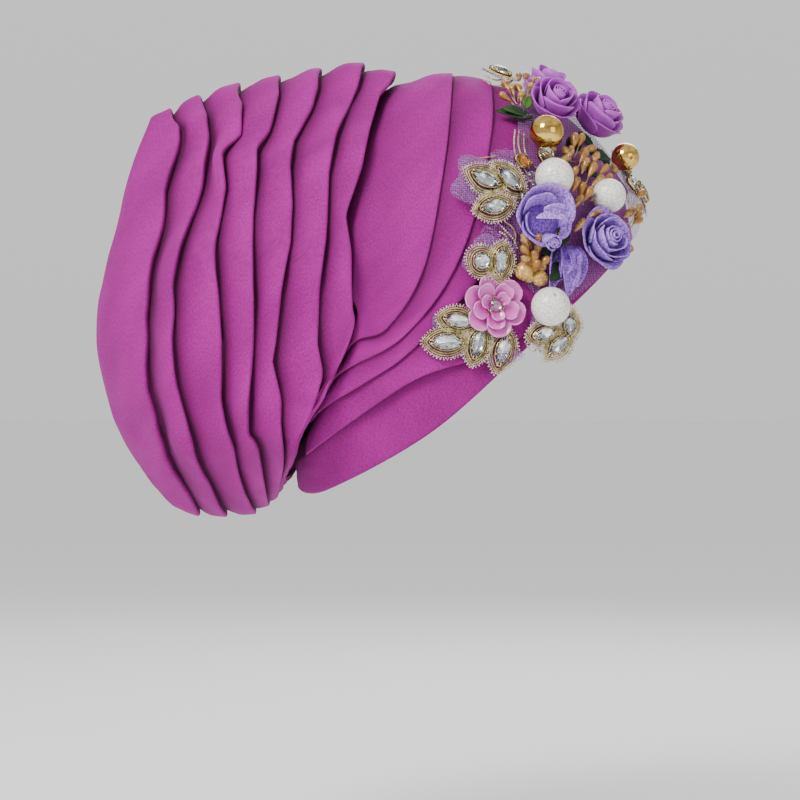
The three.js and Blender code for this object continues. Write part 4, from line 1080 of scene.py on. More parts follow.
# In millimetres and degrees
rearPetals = [  # angle, half spread, reach, height, seed
    (62, 80, 18.5, 15, 1), (150, 55, 16, 9, 2), (250, 66, 15.5, 8, 3), (330, 58, 15.5, 10, 4), (105, 60, 14, 14, 5),
    (200, 50, 12, 9, 6),
]
rearCurls = [(100, 9, 0, 17, 6.5), (-72, -3, 3.4, 12.5, 6)]  # angle, place, length, width
budPetals = [  # place, turn, length, width, fold, lift
    (-4.5, 176, 25, 9, 0.9, 4), (4.5, 192, 21, 10, 0.8, 5), (0.5, 186, 27, 11, 0.7, 8), (-1, 178, 19, 8, 1.0, 11),
    (2, 190, 16, 7, 1.0, 12),
]


def shifted(m, x, y, z, degrees, axis):
    return m @ Matrix.Translation((x * mm, y * mm, z * mm)) @ Matrix.Rotation(math.radians(degrees), 4, axis)


def makeChiffonFlowers():
    rear, front, bud = Piece(), Piece(), Piece()
    m = seatedFrame("chiffon_rose_rear", 3.1, 0.252, 0)
    t = np.linspace(0, 1, 9)[:, None] * np.ones((1, 17))
    # The tone values here are painted shade: darker towards each flower's heart, with the top curls and the bud tips
    # lighter
    for angle, spread, reach, high, seed in rearPetals:
        radii = (reach * mm * 0.84, reach * mm * 0.78)
        grid = cupPetal(radii, high * mm, math.radians(angle), math.radians(spread), 0.16, seed, 0.03)
        addSheet(rear, grid, petalThick, m, 0.45 + 0.35 * t, 0.35 + 0.4 * t)
    for angle, x, y, long, wide in rearCurls:
        tilt = shifted(m, x, y, 13.5, angle - 5, "Z") @ Matrix.Rotation(math.radians(34), 4, "Y")
        addSheet(rear, leafPetal(long * mm, wide * mm, 0.002, 0.001, 0.5, tip=0.05), 0.0008, tilt, 1.0, 0.95)
    addRose(rear, shifted(m, 1.5, -8.5, 3, 28, "X"), chiffonRings[2:], 13 * mm, 13 * mm, 13 * mm, petalThick, 0.02,
            0.42)
    addTurned(rear, [(0, 0.0012), (0.009, 0.0014), (0.0105, 0.0035), (0.006, 0.0055), (0, 0.006)], 18, m, 0.25)
    finishPiece(rear.build("chiffon_rose_rear_petals", [chiffon]), ["chiffon_rose_rear"])
    m = seatedFrame("chiffon_rose_front", 3.86, 0.2, 60)
    addRose(front, m, chiffonRings, 30 * mm, 29 * mm, 16.5 * mm, petalThick, 0.035, 0.36)
    finishPiece(front.build("chiffon_rose_front_petals", [chiffon]), ["chiffon_rose_front"])
    m = seatedFrame("chiffon_bud", 3.68, 0.276, -8)
    t = np.linspace(0, 1, 14)[:, None] * np.ones((1, 9))
    for x, turn, long, wide, fold, lift in budPetals:
        grid = leafPetal(long * mm, wide * mm, lift * mm, lift * mm * 0.75, fold)
        addSheet(bud, grid, petalThick, shifted(m, x, 13, 1.2, turn, "Z"), 0.35 + 0.5 * t, 0.3 + 0.4 * t)
    addTurned(bud, [(0, 0.0005), (0.004, 0.001), (0.0045, 0.005), (0, 0.009)], 14,
              m @ Matrix.Translation((0, 7 * mm, 0)), 0.2)
    finishPiece(bud.build("chiffon_bud_petals", [chiffon]), ["chiffon_bud"])


makeSatinRoses()
makeChiffonFlowers()
print("roses ready")

# Pearls and gold beads, drilled, with the hole turned towards a direction in the cloth's frame
beadRows = {
    "pearl_upper": (2.93, 0.197, 20, "pearl", (-0.3, 0.8, 0.5)),
    "pearl_front": (3.61, 0.146, 18, "pearl", (0.3, 0.9, 0.4)),
    "pearl_lower": (3.85, 0.334, 20, "pearl", (-0.05, 0.55, 0.85)),
    "gold_bead_rear": (2.7, 0.142, 18, "gold_bead", (0.66, -0.12, 0.74)),
    "gold_bead_front": (3.68, 0.036, 15.12, "gold_bead", (-0.7, -0.5, 0.5)),
}


def beadProfile(radius, hole):
    start = math.asin(hole / radius)
    turns = np.linspace(start, math.pi - start, 30)
    outside = [(radius * math.sin(a), radius * math.cos(a)) for a in turns]
    deep = radius * 0.35
    inside = [(0, deep), (hole * 0.8, deep), (hole * 0.86, outside[0][1] - hole * 0.4)]
    return inside + outside + [(r, -z) for r, z in reversed(inside)]


def makeBeads():
    for name, (k, v, size, look, axis) in beadRows.items():
        m = seatedFrame(name, k, v)
        turn = Vector(axis).to_track_quat("Z", "Y").to_matrix().to_4x4()
        piece = Piece()
        addTurned(piece, beadProfile(size * mm / 2, 0.00085), 48, m @ Matrix.Translation((0, 0, size * mm / 2)) @ turn)
        finishPiece(piece.build(name + "_ball", [pearl if look == "pearl" else gold]), [name])


makeBeads()

# Cut stones in gold cups with claws
stoneRows = {
    "stone_rear_1": (1.99, 0.266, -25, 0.86, 0.44, "marquise"),
    "stone_rear_2": (2.42, 0.24, -50, 0.9, 0.44, "marquise"),
    "stone_rear_3": (2.36, 0.292, 10, 0.86, 0.42, "marquise"),
    "stone_middle": (3.05, 0.335, 84, 0.8, 0.36, "marquise"), "stone_round": (2.76, 0.362, 0, 0.5, 0.5, "round"),
    "stone_lower_1": (3.42, 0.502, 0, 0.96, 0.46, "marquise"),
    "stone_lower_2": (3.22, 0.456, -12, 0.86, 0.4, "marquise"),
    "stone_lower_3": (3.7, 0.458, 74, 0.86, 0.4, "marquise"),
    "stone_lower_4": (4.02, 0.43, 70, 0.9, 0.42, "marquise"), "stone_rim_1": (4.4, 0.362, 10, 0.74, 0.38, "marquise"),
    "stone_rim_2": (6.7, 0.37, 44, 0.8, 0.38, "marquise"), "stone_rim_3": (6.0, 0.33, 84, 0.66, 0.36, "marquise"),
    "stone_top": (2.1, 0.02, 80, 0.84, 0.42, "marquise"), "stone_front_1": (3.75, -0.01, 90, 0.6, 0.36, "marquise"),
    "stone_front_2": (4.1, 0.006, 84, 0.66, 0.38, "marquise"), "stone_amber": (2.53, 0.193, 20, 0.46, 0.46, "square"),
}
stoneSizes = {
    "unit": 0.018, "high": 0.5, "corners": 16, "cupWall": 0.00035, "cupGap": 0.0002, "cupCorners": 40,
    "clawRadius": 0.0004,
}


def stoneOutline(shape, angle):
    x, y = np.cos(angle), np.sin(angle)
    if shape == "marquise":
        return np.stack([x, np.sign(y) * np.abs(y) ** 1.55], 1)
    if shape == "square":
        power = 0.42
        return np.stack([np.sign(x) * np.abs(x) ** power, np.sign(y) * np.abs(y) ** power], 1) * 0.86
    return np.stack([x, y], 1)


def addStone(piece, matrix, shape, wide, long, seed, metal):
    n = stoneSizes["corners"]
    high = min(wide, long) * stoneSizes["high"]
    radii = np.array([wide, long]) / 2
    rng = np.random.default_rng(seed)
    # Each ring: share of the outline, level, half a step of turn or none
    rings = [(0.5, 1.0, 0), (0.74, 0.84, 0.5), (0.97, 0.5, 0), (0.95, 0.42, 0), (0.55, 0.16, 0.5), (0.0, 0.04, 0)]
    points, starts = [], []
    for scale, level, half in rings:
        starts.append(len(points))
        if scale == 0:
            points.append((0, 0, level * high))
            continue
        outline = stoneOutline(shape, (np.arange(n) + half) / n * 2 * math.pi) * radii * scale
        points += [(x, y, level * high) for x, y in outline]
    points = turnPoints(matrix, np.array(points))
    faces = [tuple(range(n))]
    for r in range(len(rings) - 2):
        a, b = starts[r], starts[r + 1]
        for i in range(n):
            j = (i + 1) % n
            if rings[r][2] == rings[r + 1][2]:
                faces.append((a + i, a + j, b + j, b + i))
            elif rings[r + 1][2] > rings[r][2]:
                faces += [(a + i, a + j, b + i), (b + i, a + j, b + j)]
            else:
                faces += [(a + i, b + j, b + i), (a + i, a + j, b + j)]
    last = starts[-1]
    faces += [(starts[-2] + i, starts[-2] + (i + 1) % n, last) for i in range(n)]
    for face in faces:  # each facet has its own corners, so that its painted reflection, a random light or dark tone for the foil, is its own
        foil = np.mean([[q for q in range(len(starts)) if starts[q] <= i][-1] for i in face]) > 3.1
        piece.add(points[list(face)], [tuple(range(len(face)))], rng.uniform(0.15, 1.0), 1 if foil else 0)
    count = stoneSizes["cupCorners"]
    outline = stoneOutline(shape, np.arange(count) / count * 2 * math.pi) * radii
    side = outline / np.linalg.norm(outline, axis=1, keepdims=True)
    near, far = stoneSizes["cupGap"], stoneSizes["cupGap"] + stoneSizes["cupWall"]
    rows = [(outline + side * near, 0.52), (outline + side * far, 0.5), (outline * 0.99 + side * far, 0.0),
            (outline * 0.9, 0.0)]
    ring = np.vstack([np.hstack([o, np.full((count, 1), z * high)]) for o, z in rows])
    last = 3 * count
    faces = gridFaces(4, count, True) + [(last + i, last + (i + 1) % count, (i + 1) % count, i) for i in range(count)]
    metal.add(turnPoints(matrix, ring), faces)
    claws = 8 if shape == "marquise" else 4
    for i in range(claws):
        a = (i + 0.5) / claws * 2 * math.pi if shape != "square" else math.pi / 4 + i * math.pi / 2
        edge = stoneOutline(shape, np.array([a]))[0] * radii
        path = [(edge[0] * s, edge[1] * s, z * high) for s, z in ((1.12, 0.1), (1.12, 0.5), (1.02, 0.68), (0.86, 0.72))]
        addTube(metal, path, stoneSizes["clawRadius"], 6, matrix=matrix)


def buildCut(piece, name, pair):  # welds the facets, and gives each face the painted reflection tone of its own corners
    thing = piece.build(name, pair, smooth=False, outward=False)
    work = bmesh.new()
    work.from_mesh(thing.data)
    tone = work.verts.layers.float.get("tone")
    shades = {f.index: f.verts[0][tone] for f in work.faces}
    layer = work.faces.layers.float.new("facet")
    for f in work.faces:
        f[layer] = shades[f.index]
    bmesh.ops.remove_doubles(work, verts=work.verts, dist=1e-7)
    bmesh.ops.recalc_face_normals(work, faces=work.faces)
    work.to_mesh(thing.data)
    work.free()
    return thing


metalPiece = Piece()


def makeStones():
    for seed, (name, (k, v, turn, wide, long, shape)) in enumerate(stoneRows.items()):
        unit = stoneSizes["unit"]
        piece = Piece()
        addStone(piece, seatedFrame(name, k, v, turn), shape, wide * unit, long * unit, seed, metalPiece)
        amber = name == "stone_amber"
        pair = [amberGlass, amberFoil] if amber else [clearGlass, silverFoil]
        finishPiece(buildCut(piece, name + "_cut", pair), [name])
    piece = Piece()
    addStone(piece, seatedFrame("sequin_centre", 3.4, 0.387), "round", 0.00816, 0.00816, 77, metalPiece)
    finishPiece(buildCut(piece, "sequin_centre_cut", [clearGlass, silverFoil]), ["sequin_centre"])


makeStones()

# Small stones, clear beads and filling beads, by the pixel of the photograph where they show
smallStones = [  # pixel, turn in degrees, width and length in millimetres, shape, lift in millimetres
    (545, 157, 70, 13, 8.5, "marquise", 5.5), (636, 161, 12, 10.5, 6.5, "marquise", 4),
    (646, 182, 80, 9.5, 5.5, "marquise", 2.5), (630, 184, 30, 8, 8, "square", 4.5),
]
# Pixel, radius and lift in millimetres
clearBeads = [
    (523, 199, 3.6, 3.4), (530, 178, 2.8, 3.4), (526, 210, 2.2, 2.4), (533, 187, 2.2, 3.6), (558, 203, 1.7, 5),
    (617, 238, 1.8, 4),
]


def makeSmallStones():
    piece = Piece()
    for seed, (px, py, turn, wide, long, shape, lift) in enumerate(smallStones):
        addStone(piece, frameAt(px, py, lift * mm, turn), shape, wide * mm, long * mm, 100 + seed, metalPiece)
    finishPiece(buildCut(piece, "small_crystals", [clearGlass, silverFoil]))
    beads = Piece()
    for px, py, radius, lift in clearBeads:
        m = frameAt(px, py, lift * mm) @ Matrix.Translation((0, 0, radius * mm * 0.6)) @ Matrix.Rotation(0.9, 4, "X")
        addTurned(beads, beadProfile(radius * mm, 0.0005), 24, m)
    finishPiece(beads.build("clear_beads", [clearGlass]))


makeSmallStones()
finishPiece(metalPiece.build("stone_cups", [settingGold]))

# Sequin flower
sequinRings = [  # petals, reach, width, height of the tip and of the root, start angle
    (6, 16.6, 14, 4.4, 1.0, 0), (5, 12.4, 10.5, 6.0, 2.2, 26), (3, 8.0, 7.6, 6.6, 3.6, 60),
]


def makeSequinFlower():
    m = seatedFrame("sequin_flower", 3.4, 0.387, 10)
    piece = Piece()
    for count, reach, wide, high, low, start in sequinRings:
        for i in range(count):
            t = np.linspace(0, 1, 12)[:, None]
            s = np.linspace(-1, 1, 13)[None, :]
            half = wide / 2 * np.sqrt(np.clip(1 - (1.0 - 1.92 * t) ** 2 * 0.98, 0.02, 1)) * (0.62 + 0.5 * t)
            y = reach * (0.1 + 0.9 * t) * (1 - 0.06 * s ** 2)
            z = low + (high - low) * t ** 1.3 + 1.5 * np.abs(s) ** 2 * np.sin(t * math.pi * 0.8) + 0.12 * np.sin(s * 16) * t
            grid = np.stack([half * s, y + 0 * s, z], 2) * mm
            # Painted shade: each petal darker at its root and on its back, and lighter towards the tip and the side
            # rims
            shade = 0.15 + 0.6 * t + 0.25 * np.abs(s) ** 3
            turned = m @ Matrix.Rotation(math.radians(start + 360 * i / count), 4, "Z")
            addSheet(piece, grid, 0.0005, turned, np.clip(shade, 0, 1), np.clip(shade - 0.1, 0, 1))
    addTurned(piece, [(0, 0.0002), (0.003, 0.0004), (0.0034, 0.0018), (0.002, 0.0034), (0, 0.0036)], 16, m, 0.6)
    finishPiece(piece.build("sequin_petals", [sequin]), ["sequin_flower"])


makeSequinFlower()

# Stamen pips: root pixel, tip pixel, smooth or rough, thickness, root lift and tip lift in millimetres
pipRows = [
    (517, 106, 499, 93, "smooth", 4.4, 2, 6), (517, 104, 503, 79, "rough", 5.2, 2, 7),
    (518, 101, 520, 70, "rough", 4.2, 3, 8), (518, 96, 527, 73, "smooth", 4.4, 4, 10),
    (520, 106, 523, 90, "rough", 4.4, 4, 10), (528, 97, 541, 75, "smooth", 4.4, 4, 9),
    (524, 102, 531, 84, "rough", 4.6, 3, 8), (516, 103, 511, 84, "rough", 4.4, 2, 8),
    (571, 156, 576, 133, "smooth", 5.4, 4, 13), (574, 157, 583, 134, "smooth", 4.8, 4, 12),
    (570, 158, 563, 147, "rough", 4.6, 4, 10), (584, 150, 596, 147, "rough", 5.2, 5, 11),
    (583, 170, 588, 158, "rough", 4.8, 4, 11), (585, 183, 596, 163, "smooth", 5.4, 4, 13),
    (573, 178, 577, 166, "smooth", 4.4, 4, 12), (572, 192, 579, 177, "smooth", 4.8, 4, 12),
    (588, 190, 603, 176, "rough", 5.2, 4, 12), (582, 204, 592, 187, "smooth", 5.0, 5, 13),
    (590, 200, 604, 187, "rough", 5.0, 5, 12), (600, 185, 612, 175, "smooth", 4.4, 4, 10),
    (577, 150, 590, 163, "rough", 4.2, 4, 9), (565, 160, 569, 150, "smooth", 3.8, 4, 8),
    (628, 207, 642, 193, "smooth", 4.8, 2, 7), (628, 214, 636, 208, "rough", 6.0, 2, 6),
    (629, 227, 643, 218, "smooth", 5.0, 2, 6), (627, 224, 641, 212, "smooth", 4.2, 2, 6),
    (624, 238, 632, 252, "smooth", 4.6, 2, 6), (616, 250, 620, 260, "rough", 4.4, 2, 5),
    (620, 242, 626, 247, "rough", 4.2, 2, 6), (595, 214, 602, 211, "rough", 3.6, 8, 13),
    (580, 225, 585, 219, "rough", 4.6, 8, 13), (531, 262, 523, 233, "rough", 5.0, 3, 9),
    (532, 262, 540, 233, "rough", 5.2, 3, 10), (532, 264, 522, 245, "smooth", 5.2, 3, 10),
    (534, 266, 535, 250, "smooth", 5.2, 4, 12), (533, 266, 522, 256, "rough", 5.2, 3, 10),
    (535, 268, 539, 260, "smooth", 5.4, 4, 12), (537, 268, 550, 257, "smooth", 5.2, 3, 9),
    (536, 262, 539, 241, "rough", 4.8, 3, 9), (530, 260, 529, 238, "rough", 4.4, 2, 7),
    (556, 240, 560, 232, "smooth", 3.8, 4, 8), (566, 165, 572, 146, "rough", 5.0, 4, 11),
    (578, 166, 587, 150, "smooth", 5.2, 4, 11), (590, 168, 598, 152, "rough", 5.0, 4, 9),
    (580, 196, 584, 182, "smooth", 5.4, 4, 12), (575, 206, 583, 195, "rough", 4.6, 4, 12),
    (598, 176, 608, 165, "smooth", 4.6, 3, 9), (612, 158, 616, 172, "rough", 4.6, 2, 7),
    (560, 166, 566, 156, "rough", 4.6, 3, 8), (524, 100, 517, 84, "smooth", 4.6, 3, 8),
    (522, 98, 534, 82, "rough", 4.4, 4, 8), (540, 142, 556, 150, "rough", 4.2, 3, 7),
    (541, 152, 553, 159, "smooth", 4.0, 3, 6), (530, 266, 530, 256, "smooth", 5.4, 4, 11),
    (541, 268, 545, 266, "rough", 4.6, 3, 9), (634, 218, 641, 205, "rough", 5.0, 2, 6),
    (610, 264, 615, 257, "rough", 4.6, 2, 5),
]
glitterBalls = [(524, 271, 4.6, 4), (540, 278, 3.9, 4.5), (529, 277, 2.6, 3.5)]


pipShape = [(0, 0), (0.05, 0.01), (0.16, 0.12), (0.3, 0.3), (0.43, 0.5), (0.5, 0.68), (0.48, 0.82), (0.36, 0.93),
            (0.18, 0.985), (0, 1)]
pipSizes = {"netFrom": 530, "overNet": 4, "overCloth": 1.5, "slim": 0.86, "slender": 2.2, "shortest": 8.5}


def pipProfile(long, thick):
    return [(r * thick, z * long) for r, z in pipShape]


def towards(a, b):
    ahead = Vector(b) - Vector(a)
    return Matrix.Translation(a) @ ahead.to_track_quat("Z", "Y").to_matrix().to_4x4()


def makePips():
    smooth, rough, wires = Piece(), Piece(), Piece()
    for px, py, tx, ty, kind, thick, low, high in pipRows:
        onNet = pipSizes["overNet"] if px > pipSizes["netFrom"] else pipSizes["overCloth"]
        root = frameAt(px, py, (low + onNet) * mm).translation
        tip = frameAt(tx, ty, (low + (high - low) * 0.5 + onNet) * mm).translation
        ahead = (tip - root).normalized()
        thick = thick * pipSizes["slim"]
        long = max(thick * pipSizes["slender"], pipSizes["shortest"]) * mm
        start = tip - ahead * long
        m = towards(start, tip)
        if kind == "smooth":
            addTurned(smooth, pipProfile(long, thick * mm), 14, m, 0.8)
        else:
            profile = enumerate(pipProfile(long, thick * 0.86 * mm))
            addTurned(rough, [(r * (1 + 0.1 * math.sin(px * 7 + ty + i)), z) for i, (r, z) in profile], 12, m, 0.7)
        if (start - root).length > 0.001:
            bend = (start + root) / 2 + Vector((0, 0, -0.001))
            addTube(wires, [root, bend, start + ahead * 0.001], 0.0003, 5, 0.5)
    finishPiece(smooth.build("smooth_pips", [smoothPip]),
                ["pips_top", "pips_brow", "pips_front", "pips_lower", "pips_rim"])
    finishPiece(wires.build("pip_wires", [cordThread]))
    balls = Piece()
    for px, py, radius, lift in glitterBalls:
        turns = np.linspace(0, math.pi, 9)
        profile = [(math.sin(a) * radius * mm if 0 < i < 8 else 0, math.cos(a) * radius * mm) for i,
                   a in enumerate(turns)]
        addTurned(balls, profile, 16, frameAt(px, py, lift * mm))
    return rough.build("rough_pips", [roughPip]), balls.build("glitter_balls", [glitterBall])


def newTree(name, inputs):
    tree = bpy.data.node_groups.new(name, "GeometryNodeTree")
    tree.interface.new_socket(name="Geometry", in_out="INPUT", socket_type="NodeSocketGeometry")
    for label, kind, value in inputs:
        socket = tree.interface.new_socket(name=label, in_out="INPUT", socket_type=kind)
        if value is not None:
            socket.default_value = value
    tree.interface.new_socket(name="Geometry", in_out="OUTPUT", socket_type="NodeSocketGeometry")
    return tree, tree.nodes.new("NodeGroupInput"), tree.nodes.new("NodeGroupOutput")


def runTree(thing, tree, values):  # applies a node tree and keeps the result as a plain mesh
    modifier = thing.modifiers.new("build", "NODES")
    modifier.node_group = tree
    for item in tree.interface.items_tree:
        if item.item_type == "SOCKET" and item.in_out == "INPUT" and item.name in values:
            modifier[item.identifier] = values[item.name]
    bpy.context.view_layer.update()
    mesh = bpy.data.meshes.new_from_object(thing.evaluated_get(bpy.context.evaluated_depsgraph_get()))
    thing.modifiers.clear()
    old = thing.data
    thing.data = mesh
    mesh.name = thing.name
    bpy.data.meshes.remove(old)
    return thing


def makeGrainTree():  # grains of glitter all over a solid
    inputs = [("Density", "NodeSocketFloat", 400000.0), ("Grain Size", "NodeSocketFloat", 0.0005),
              ("Seed", "NodeSocketInt", 3), ("Material", "NodeSocketMaterial", None)]
    tree, source, sink = newTree("coatOfGrains", inputs)
    scatter, grain, stand = newNodes(tree, "GeometryNode", "DistributePointsOnFaces MeshIcoSphere InstanceOnPoints")
    join, real, paint = newNodes(tree, "GeometryNode", "JoinGeometry RealizeInstances SetMaterial")
    grain.inputs["Subdivisions"].default_value = 1
    spin = tree.nodes.new("FunctionNodeRandomValue")
    spin.data_type = "FLOAT_VECTOR"
    spin.inputs["Max"].default_value = (6.28, 6.28, 6.28)
    wire(tree, (source, "Geometry", scatter, "Mesh"), (source, "Density", scatter, "Density"),
         (source, "Seed", scatter, "Seed"),
         (source, "Grain Size", grain, "Radius"), (scatter, "Points", stand, "Points"),
         (grain, "Mesh", stand, "Instance"),
         (spin, "Value", stand, "Rotation"), (source, "Geometry", join, 0), (stand, 0, join, 0), (join, 0, real, 0),
         (real, 0, paint, "Geometry"), (source, "Material", paint, "Material"), (paint, 0, sink, "Geometry"))
    return tree


roughPips, ballPiece = makePips()
grainTree = makeGrainTree()
for grained, size, seed, coat in ((roughPips, 0.00042, 4, roughPip), (ballPiece, 0.00055, 9, glitterBall)):
    values = {"Density": 900000.0, "Grain Size": size, "Seed": seed, "Material": coat}
    finishPiece(runTree(grained, grainTree, values))

# Cords and picot edging of the lace
cordSizes = {
    "radius": 0.00042, "picot": 0.00055, "spacing": 0.00125, "inner": 1.5, "outer": 2.7, "edge": 3.9, "tips": 0.9,
}
freeCords = [  # pixels that a length of braid passes, and its lift in millimetres
    ([(519, 131), (518, 142), (520, 152), (523, 166), (528, 175)], 4.0),
    ([(524, 134), (524, 145), (526, 156), (529, 168)], 4.2),
    ([(462, 165), (470, 160), (482, 158), (496, 156)], 3.4),
    ([(505, 222), (512, 227), (516, 236), (514, 246)], 3.4),
    ([(486, 76), (496, 80), (508, 78), (514, 70)], 3.4),
    ([(528, 330), (540, 340), (556, 342), (566, 330)], 3.4),
    ([(618, 160), (628, 172), (636, 178), (640, 190)], 3.6),
    ([(535, 167), (545, 170), (560, 160), (575, 162)], 3.0),
]
freePicots = [
    ([(515, 130), (514, 142), (515, 154), (518, 166), (522, 176)], 3.8),
    ([(525, 342), (533, 352), (540, 346), (556, 350)], 3.0),
    ([(500, 232), (506, 236), (509, 244)], 3.2),
    ([(484, 80), (494, 85), (506, 84), (514, 76)], 3.2),
    ([(500, 225), (507, 232), (514, 240), (517, 248)], 3.4),
]


def polyline(name, paths):
    points, edges = [], []
    for path, closed in paths:
        start = len(points)
        points += [tuple(p) for p in path]
        edges += [(start + i, start + i + 1) for i in range(len(path) - 1)]
        if closed:
            edges.append((start + len(path) - 1, start))
    mesh = bpy.data.meshes.new(name)
    mesh.from_pydata(points, edges, [])
    thing = bpy.data.objects.new(name, mesh)
    bpy.context.scene.collection.objects.link(thing)
    return thing


def smoothPath(points, steps=8):
    points = np.asarray(points, float)
    ends = np.vstack([2 * points[0] - points[1], points, 2 * points[-1] - points[-2]])
    out = [curveThrough(ends[i], ends[i + 1], ends[i + 2], ends[i + 3], np.arange(steps) / steps)
           for i in range(len(points) - 1)]
    return np.vstack(out + [points[-1:]])


def stoneLoop(name, grow):
    k, v, turn, wide, long, shape = stoneRows[name]
    m = seatedFrame(name, k, v, turn)
    lift = (m.translation - Vector(crownDrape.at(k, v))).length
    angle = np.arange(44) / 44 * 2 * math.pi
    outline = stoneOutline(shape, angle)
    radii = np.array([wide, long]) * stoneSizes["unit"] / 2
    reach = outline * (radii + grow * mm)
    if k > 4.2:  # past the rim the lace hangs flat
        return turnPoints(m, np.hstack([reach, np.full((len(reach), 1), 0.0002)]))
    ks, vs = settle(k, v, turn, reach)
    return crownDrape.at(ks, vs) + crownDrape.normal(ks, vs) * (lift + 0.0002)


def makeCordTree():
    tree, source, sink = newTree("roundCord", [("Radius", "NodeSocketFloat", 0.0004),
                                               ("Material", "NodeSocketMaterial", None)])
    curve, tube, ring = newNodes(tree, "GeometryNode", "MeshToCurve CurveToMesh CurvePrimitiveCircle")
    real, paint, soft = newNodes(tree, "GeometryNode", "RealizeInstances SetMaterial SetShadeSmooth")
    ring.inputs["Resolution"].default_value = 6
    tube.inputs["Fill Caps"].default_value = True
    wire(tree, (source, "Geometry", curve, 0), (source, "Radius", ring, "Radius"), (curve, 0, tube, "Curve"),
         (ring, 0, tube, "Profile Curve"), (tube, 0, soft, 0), (soft, 0, real, 0), (real, 0, paint, "Geometry"),
         (source, "Material", paint, "Material"), (paint, 0, sink, "Geometry"))
    return tree


def makePicotTree():
    inputs = [("Spacing", "NodeSocketFloat", 0.0012), ("Size", "NodeSocketFloat", 0.0005), ("Seed", "NodeSocketInt", 1),
              ("Material", "NodeSocketMaterial", None)]
    tree, source, sink = newTree("picotRow", inputs)
    curve, spread, knot, stand = newNodes(tree, "GeometryNode",
                                          "MeshToCurve ResampleCurve MeshIcoSphere InstanceOnPoints")
    real, paint, soft = newNodes(tree, "GeometryNode", "RealizeInstances SetMaterial SetShadeSmooth")
    if hasattr(spread, "mode"):
        spread.mode = "LENGTH"
    knot.inputs["Subdivisions"].default_value = 1
    size = tree.nodes.new("FunctionNodeRandomValue")
    size.inputs[2].default_value, size.inputs[3].default_value = 0.75, 1.2
    wire(tree, (source, "Geometry", curve, 0), (curve, 0, spread, "Curve"), (source, "Spacing", spread, "Length"),
         (spread, 0, stand, "Points"), (source, "Size", knot, "Radius"), (source, "Seed", size, "Seed"),
         (knot, "Mesh", stand, "Instance"), (size, 1, stand, "Scale"), (stand, 0, soft, 0), (soft, 0, real, 0),
         (real, 0, paint, "Geometry"), (source, "Material", paint, "Material"), (paint, 0, sink, "Geometry"))
    return tree


def pixelPath(pixels, lift):
    return smoothPath([tuple(frameAt(px, py, lift * mm).translation) for px, py in pixels])


def makeLaceCords():
    edged = [n for n in stoneRows if n != "stone_amber"]
    cords = [(stoneLoop(n, cordSizes[g]), True) for n in edged for g in ("inner", "outer")]
    cords += [(pixelPath(pixels, lift), False) for pixels, lift in freeCords]
    picots = [(stoneLoop(n, cordSizes["edge"]), True) for n in edged]
    picots += [(pixelPath(pixels, lift), False) for pixels, lift in freePicots]
    tips = [(stoneLoop(n, cordSizes["edge"] + cordSizes["tips"]), True) for n in edged]
    values = {"Radius": cordSizes["radius"], "Material": cordThread}
    finishPiece(runTree(polyline("lace_cords", cords), makeCordTree(), values))
    picotTree = makePicotTree()
    for name, paths, wider, smaller, seed in (("lace_picots", picots, 1, 1, 2), ("lace_picot_tips", tips, 1.5, 0.8, 5)):
        values = {"Spacing": cordSizes["spacing"] * wider, "Size": cordSizes["picot"] * smaller, "Seed": seed,
                  "Material": picotThread}
        finishPiece(runTree(polyline(name, paths), picotTree, values))


makeLaceCords()

# Leaves
leafRows = {"leaf_top": (2.34, 0.118, 172, 1.15, 0.5, 0.35), "leaf_brow": (3.3, 0.072, -60, 0.7, 0.4, 0.1)}
leafSizes = {"netFrom": 540, "overNet": 4, "lean": -14}
# Pixel, turn, length, width and lift in millimetres, shade
darkLeaves = [
    (514, 112, 188, 17, 8, 3.2, 0.45), (527, 103, 60, 9, 5, 6, 1.0), (598, 156, -30, 13, 8, 5, 0.15),
    (562, 236, 250, 12, 7, 5, 0.1), (556, 272, 230, 13, 8, 4, 0.1), (573, 145, 20, 12, 8, 3, 0.0),
    (590, 172, 200, 12, 8, 3, 0.0), (548, 250, 280, 12, 8, 3, 0.05), (604, 160, 100, 10, 6, 4, 0.1),
]


def addLeaf(piece, matrix, long, wide, shade):
    t = np.linspace(0, 1, 25)[:, None]
    s = np.linspace(-1, 1, 9)[None, :]
    teeth = 1 + 0.16 * (np.arange(25)[:, None] % 2) * (np.abs(s) > 0.8)
    half = wide / 2 * np.sin(math.pi * np.clip(0.04 + 0.93 * t, 0, 1) ** 0.8) * teeth
    vein = 0.0002 * np.abs(np.sin(t * 22 + np.abs(s) * 3))
    grid = np.stack([long * (t - 0.5) + 0.05 * long * np.abs(s), half * s, 0.0003 + 0.22 * half * np.abs(s) + vein], 2)
    # Lighter towards the tip; the back gets a painted shade at 0.8 of the front's tone
    tone = np.clip(shade + 0.3 * t * (1 - 0.5 * np.abs(s)), 0, 1)
    addSheet(piece, grid, 0.0005, matrix, tone, tone * 0.8)


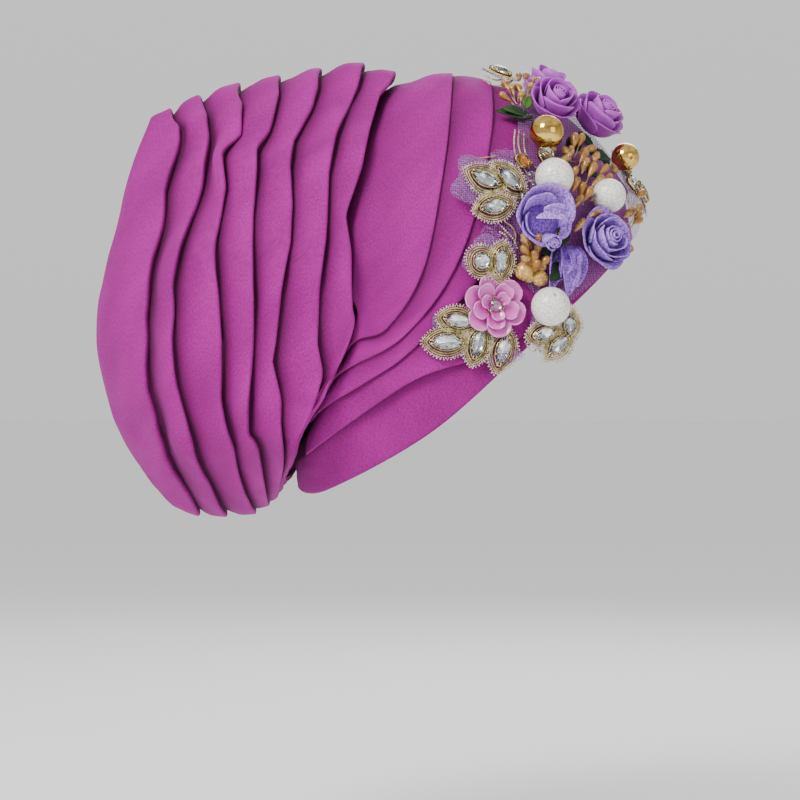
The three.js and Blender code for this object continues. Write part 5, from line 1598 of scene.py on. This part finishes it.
def makeLeaves():
    for name, (k, v, turn, wide, long, shade) in leafRows.items():
        piece = Piece()
        addLeaf(piece, seatedFrame(name, k, v, turn), wide * stoneSizes["unit"], long * stoneSizes["unit"], shade)
        finishPiece(piece.build(name + "_cloth", [leafCloth]), [name])
    piece = Piece()
    for px, py, turn, long, wide, lift, shade in darkLeaves:
        raised = lift + (leafSizes["overNet"] if px > leafSizes["netFrom"] else 0)
        m = frameAt(px, py, raised * mm, turn) @ Matrix.Rotation(math.radians(leafSizes["lean"]), 4, "Y")
        addLeaf(piece, m, long * mm, wide * mm, shade)
    finishPiece(piece.build("small_leaves", [leafCloth]))


makeLeaves()

# Puffs of tulle that stand up round the flowers
# Pixel, turn, width, length and lift in millimetres
tulleRows = [
    (502, 158, 15, 13, 10, 3), (515, 160, -20, 12, 9, 3), (492, 232, 30, 12, 9, 3), (506, 358, 10, 20, 6, 2.6),
    (560, 285, 60, 13, 9, 3.5), (536, 200, 40, 12, 10, 3.2), (530, 118, 80, 10, 9, 3.2),
]


def makeTullePuffs():
    piece = Piece()
    for i, (px, py, turn, wide, long, lift) in enumerate(tulleRows):
        s, t = np.meshgrid(np.linspace(-1, 1, 15), np.linspace(-1, 1, 11))
        z = 0.8 * np.sin(s * 5 + i) * np.cos(t * 3) + 0.6 * t
        grid = np.stack([s * wide / 2 * (1 - 0.15 * t * t), t * long / 2 * (1 - 0.2 * s * s), z], 2) * mm
        addSheet(piece, grid, 0.0002, frameAt(px, py, lift * mm, turn), 0.5, 0.5)
    return finishPiece(piece.build("tulle_puffs", [tulle]))


puffPiece = makeTullePuffs()

# Floor
floorSizes = {"half": 30, "level": -0.43}
floorMesh = bpy.data.meshes.new("floor")
corners = [(x * floorSizes["half"], y * floorSizes["half"], floorSizes["level"]) for x,
           y in ((-1, -1), (1, -1), (1, 1), (-1, 1))]
floorMesh.from_pydata(corners, [], [(0, 1, 2, 3)])
floor = bpy.data.objects.new("floor", floorMesh)
bpy.context.scene.collection.objects.link(floor)
floorMaterial = newMaterial("paleFloor", {"Base Color": (0.94, 0.94, 0.94, 1), "Roughness": 0.9})[0]
floorMesh.materials.append(floorMaterial)
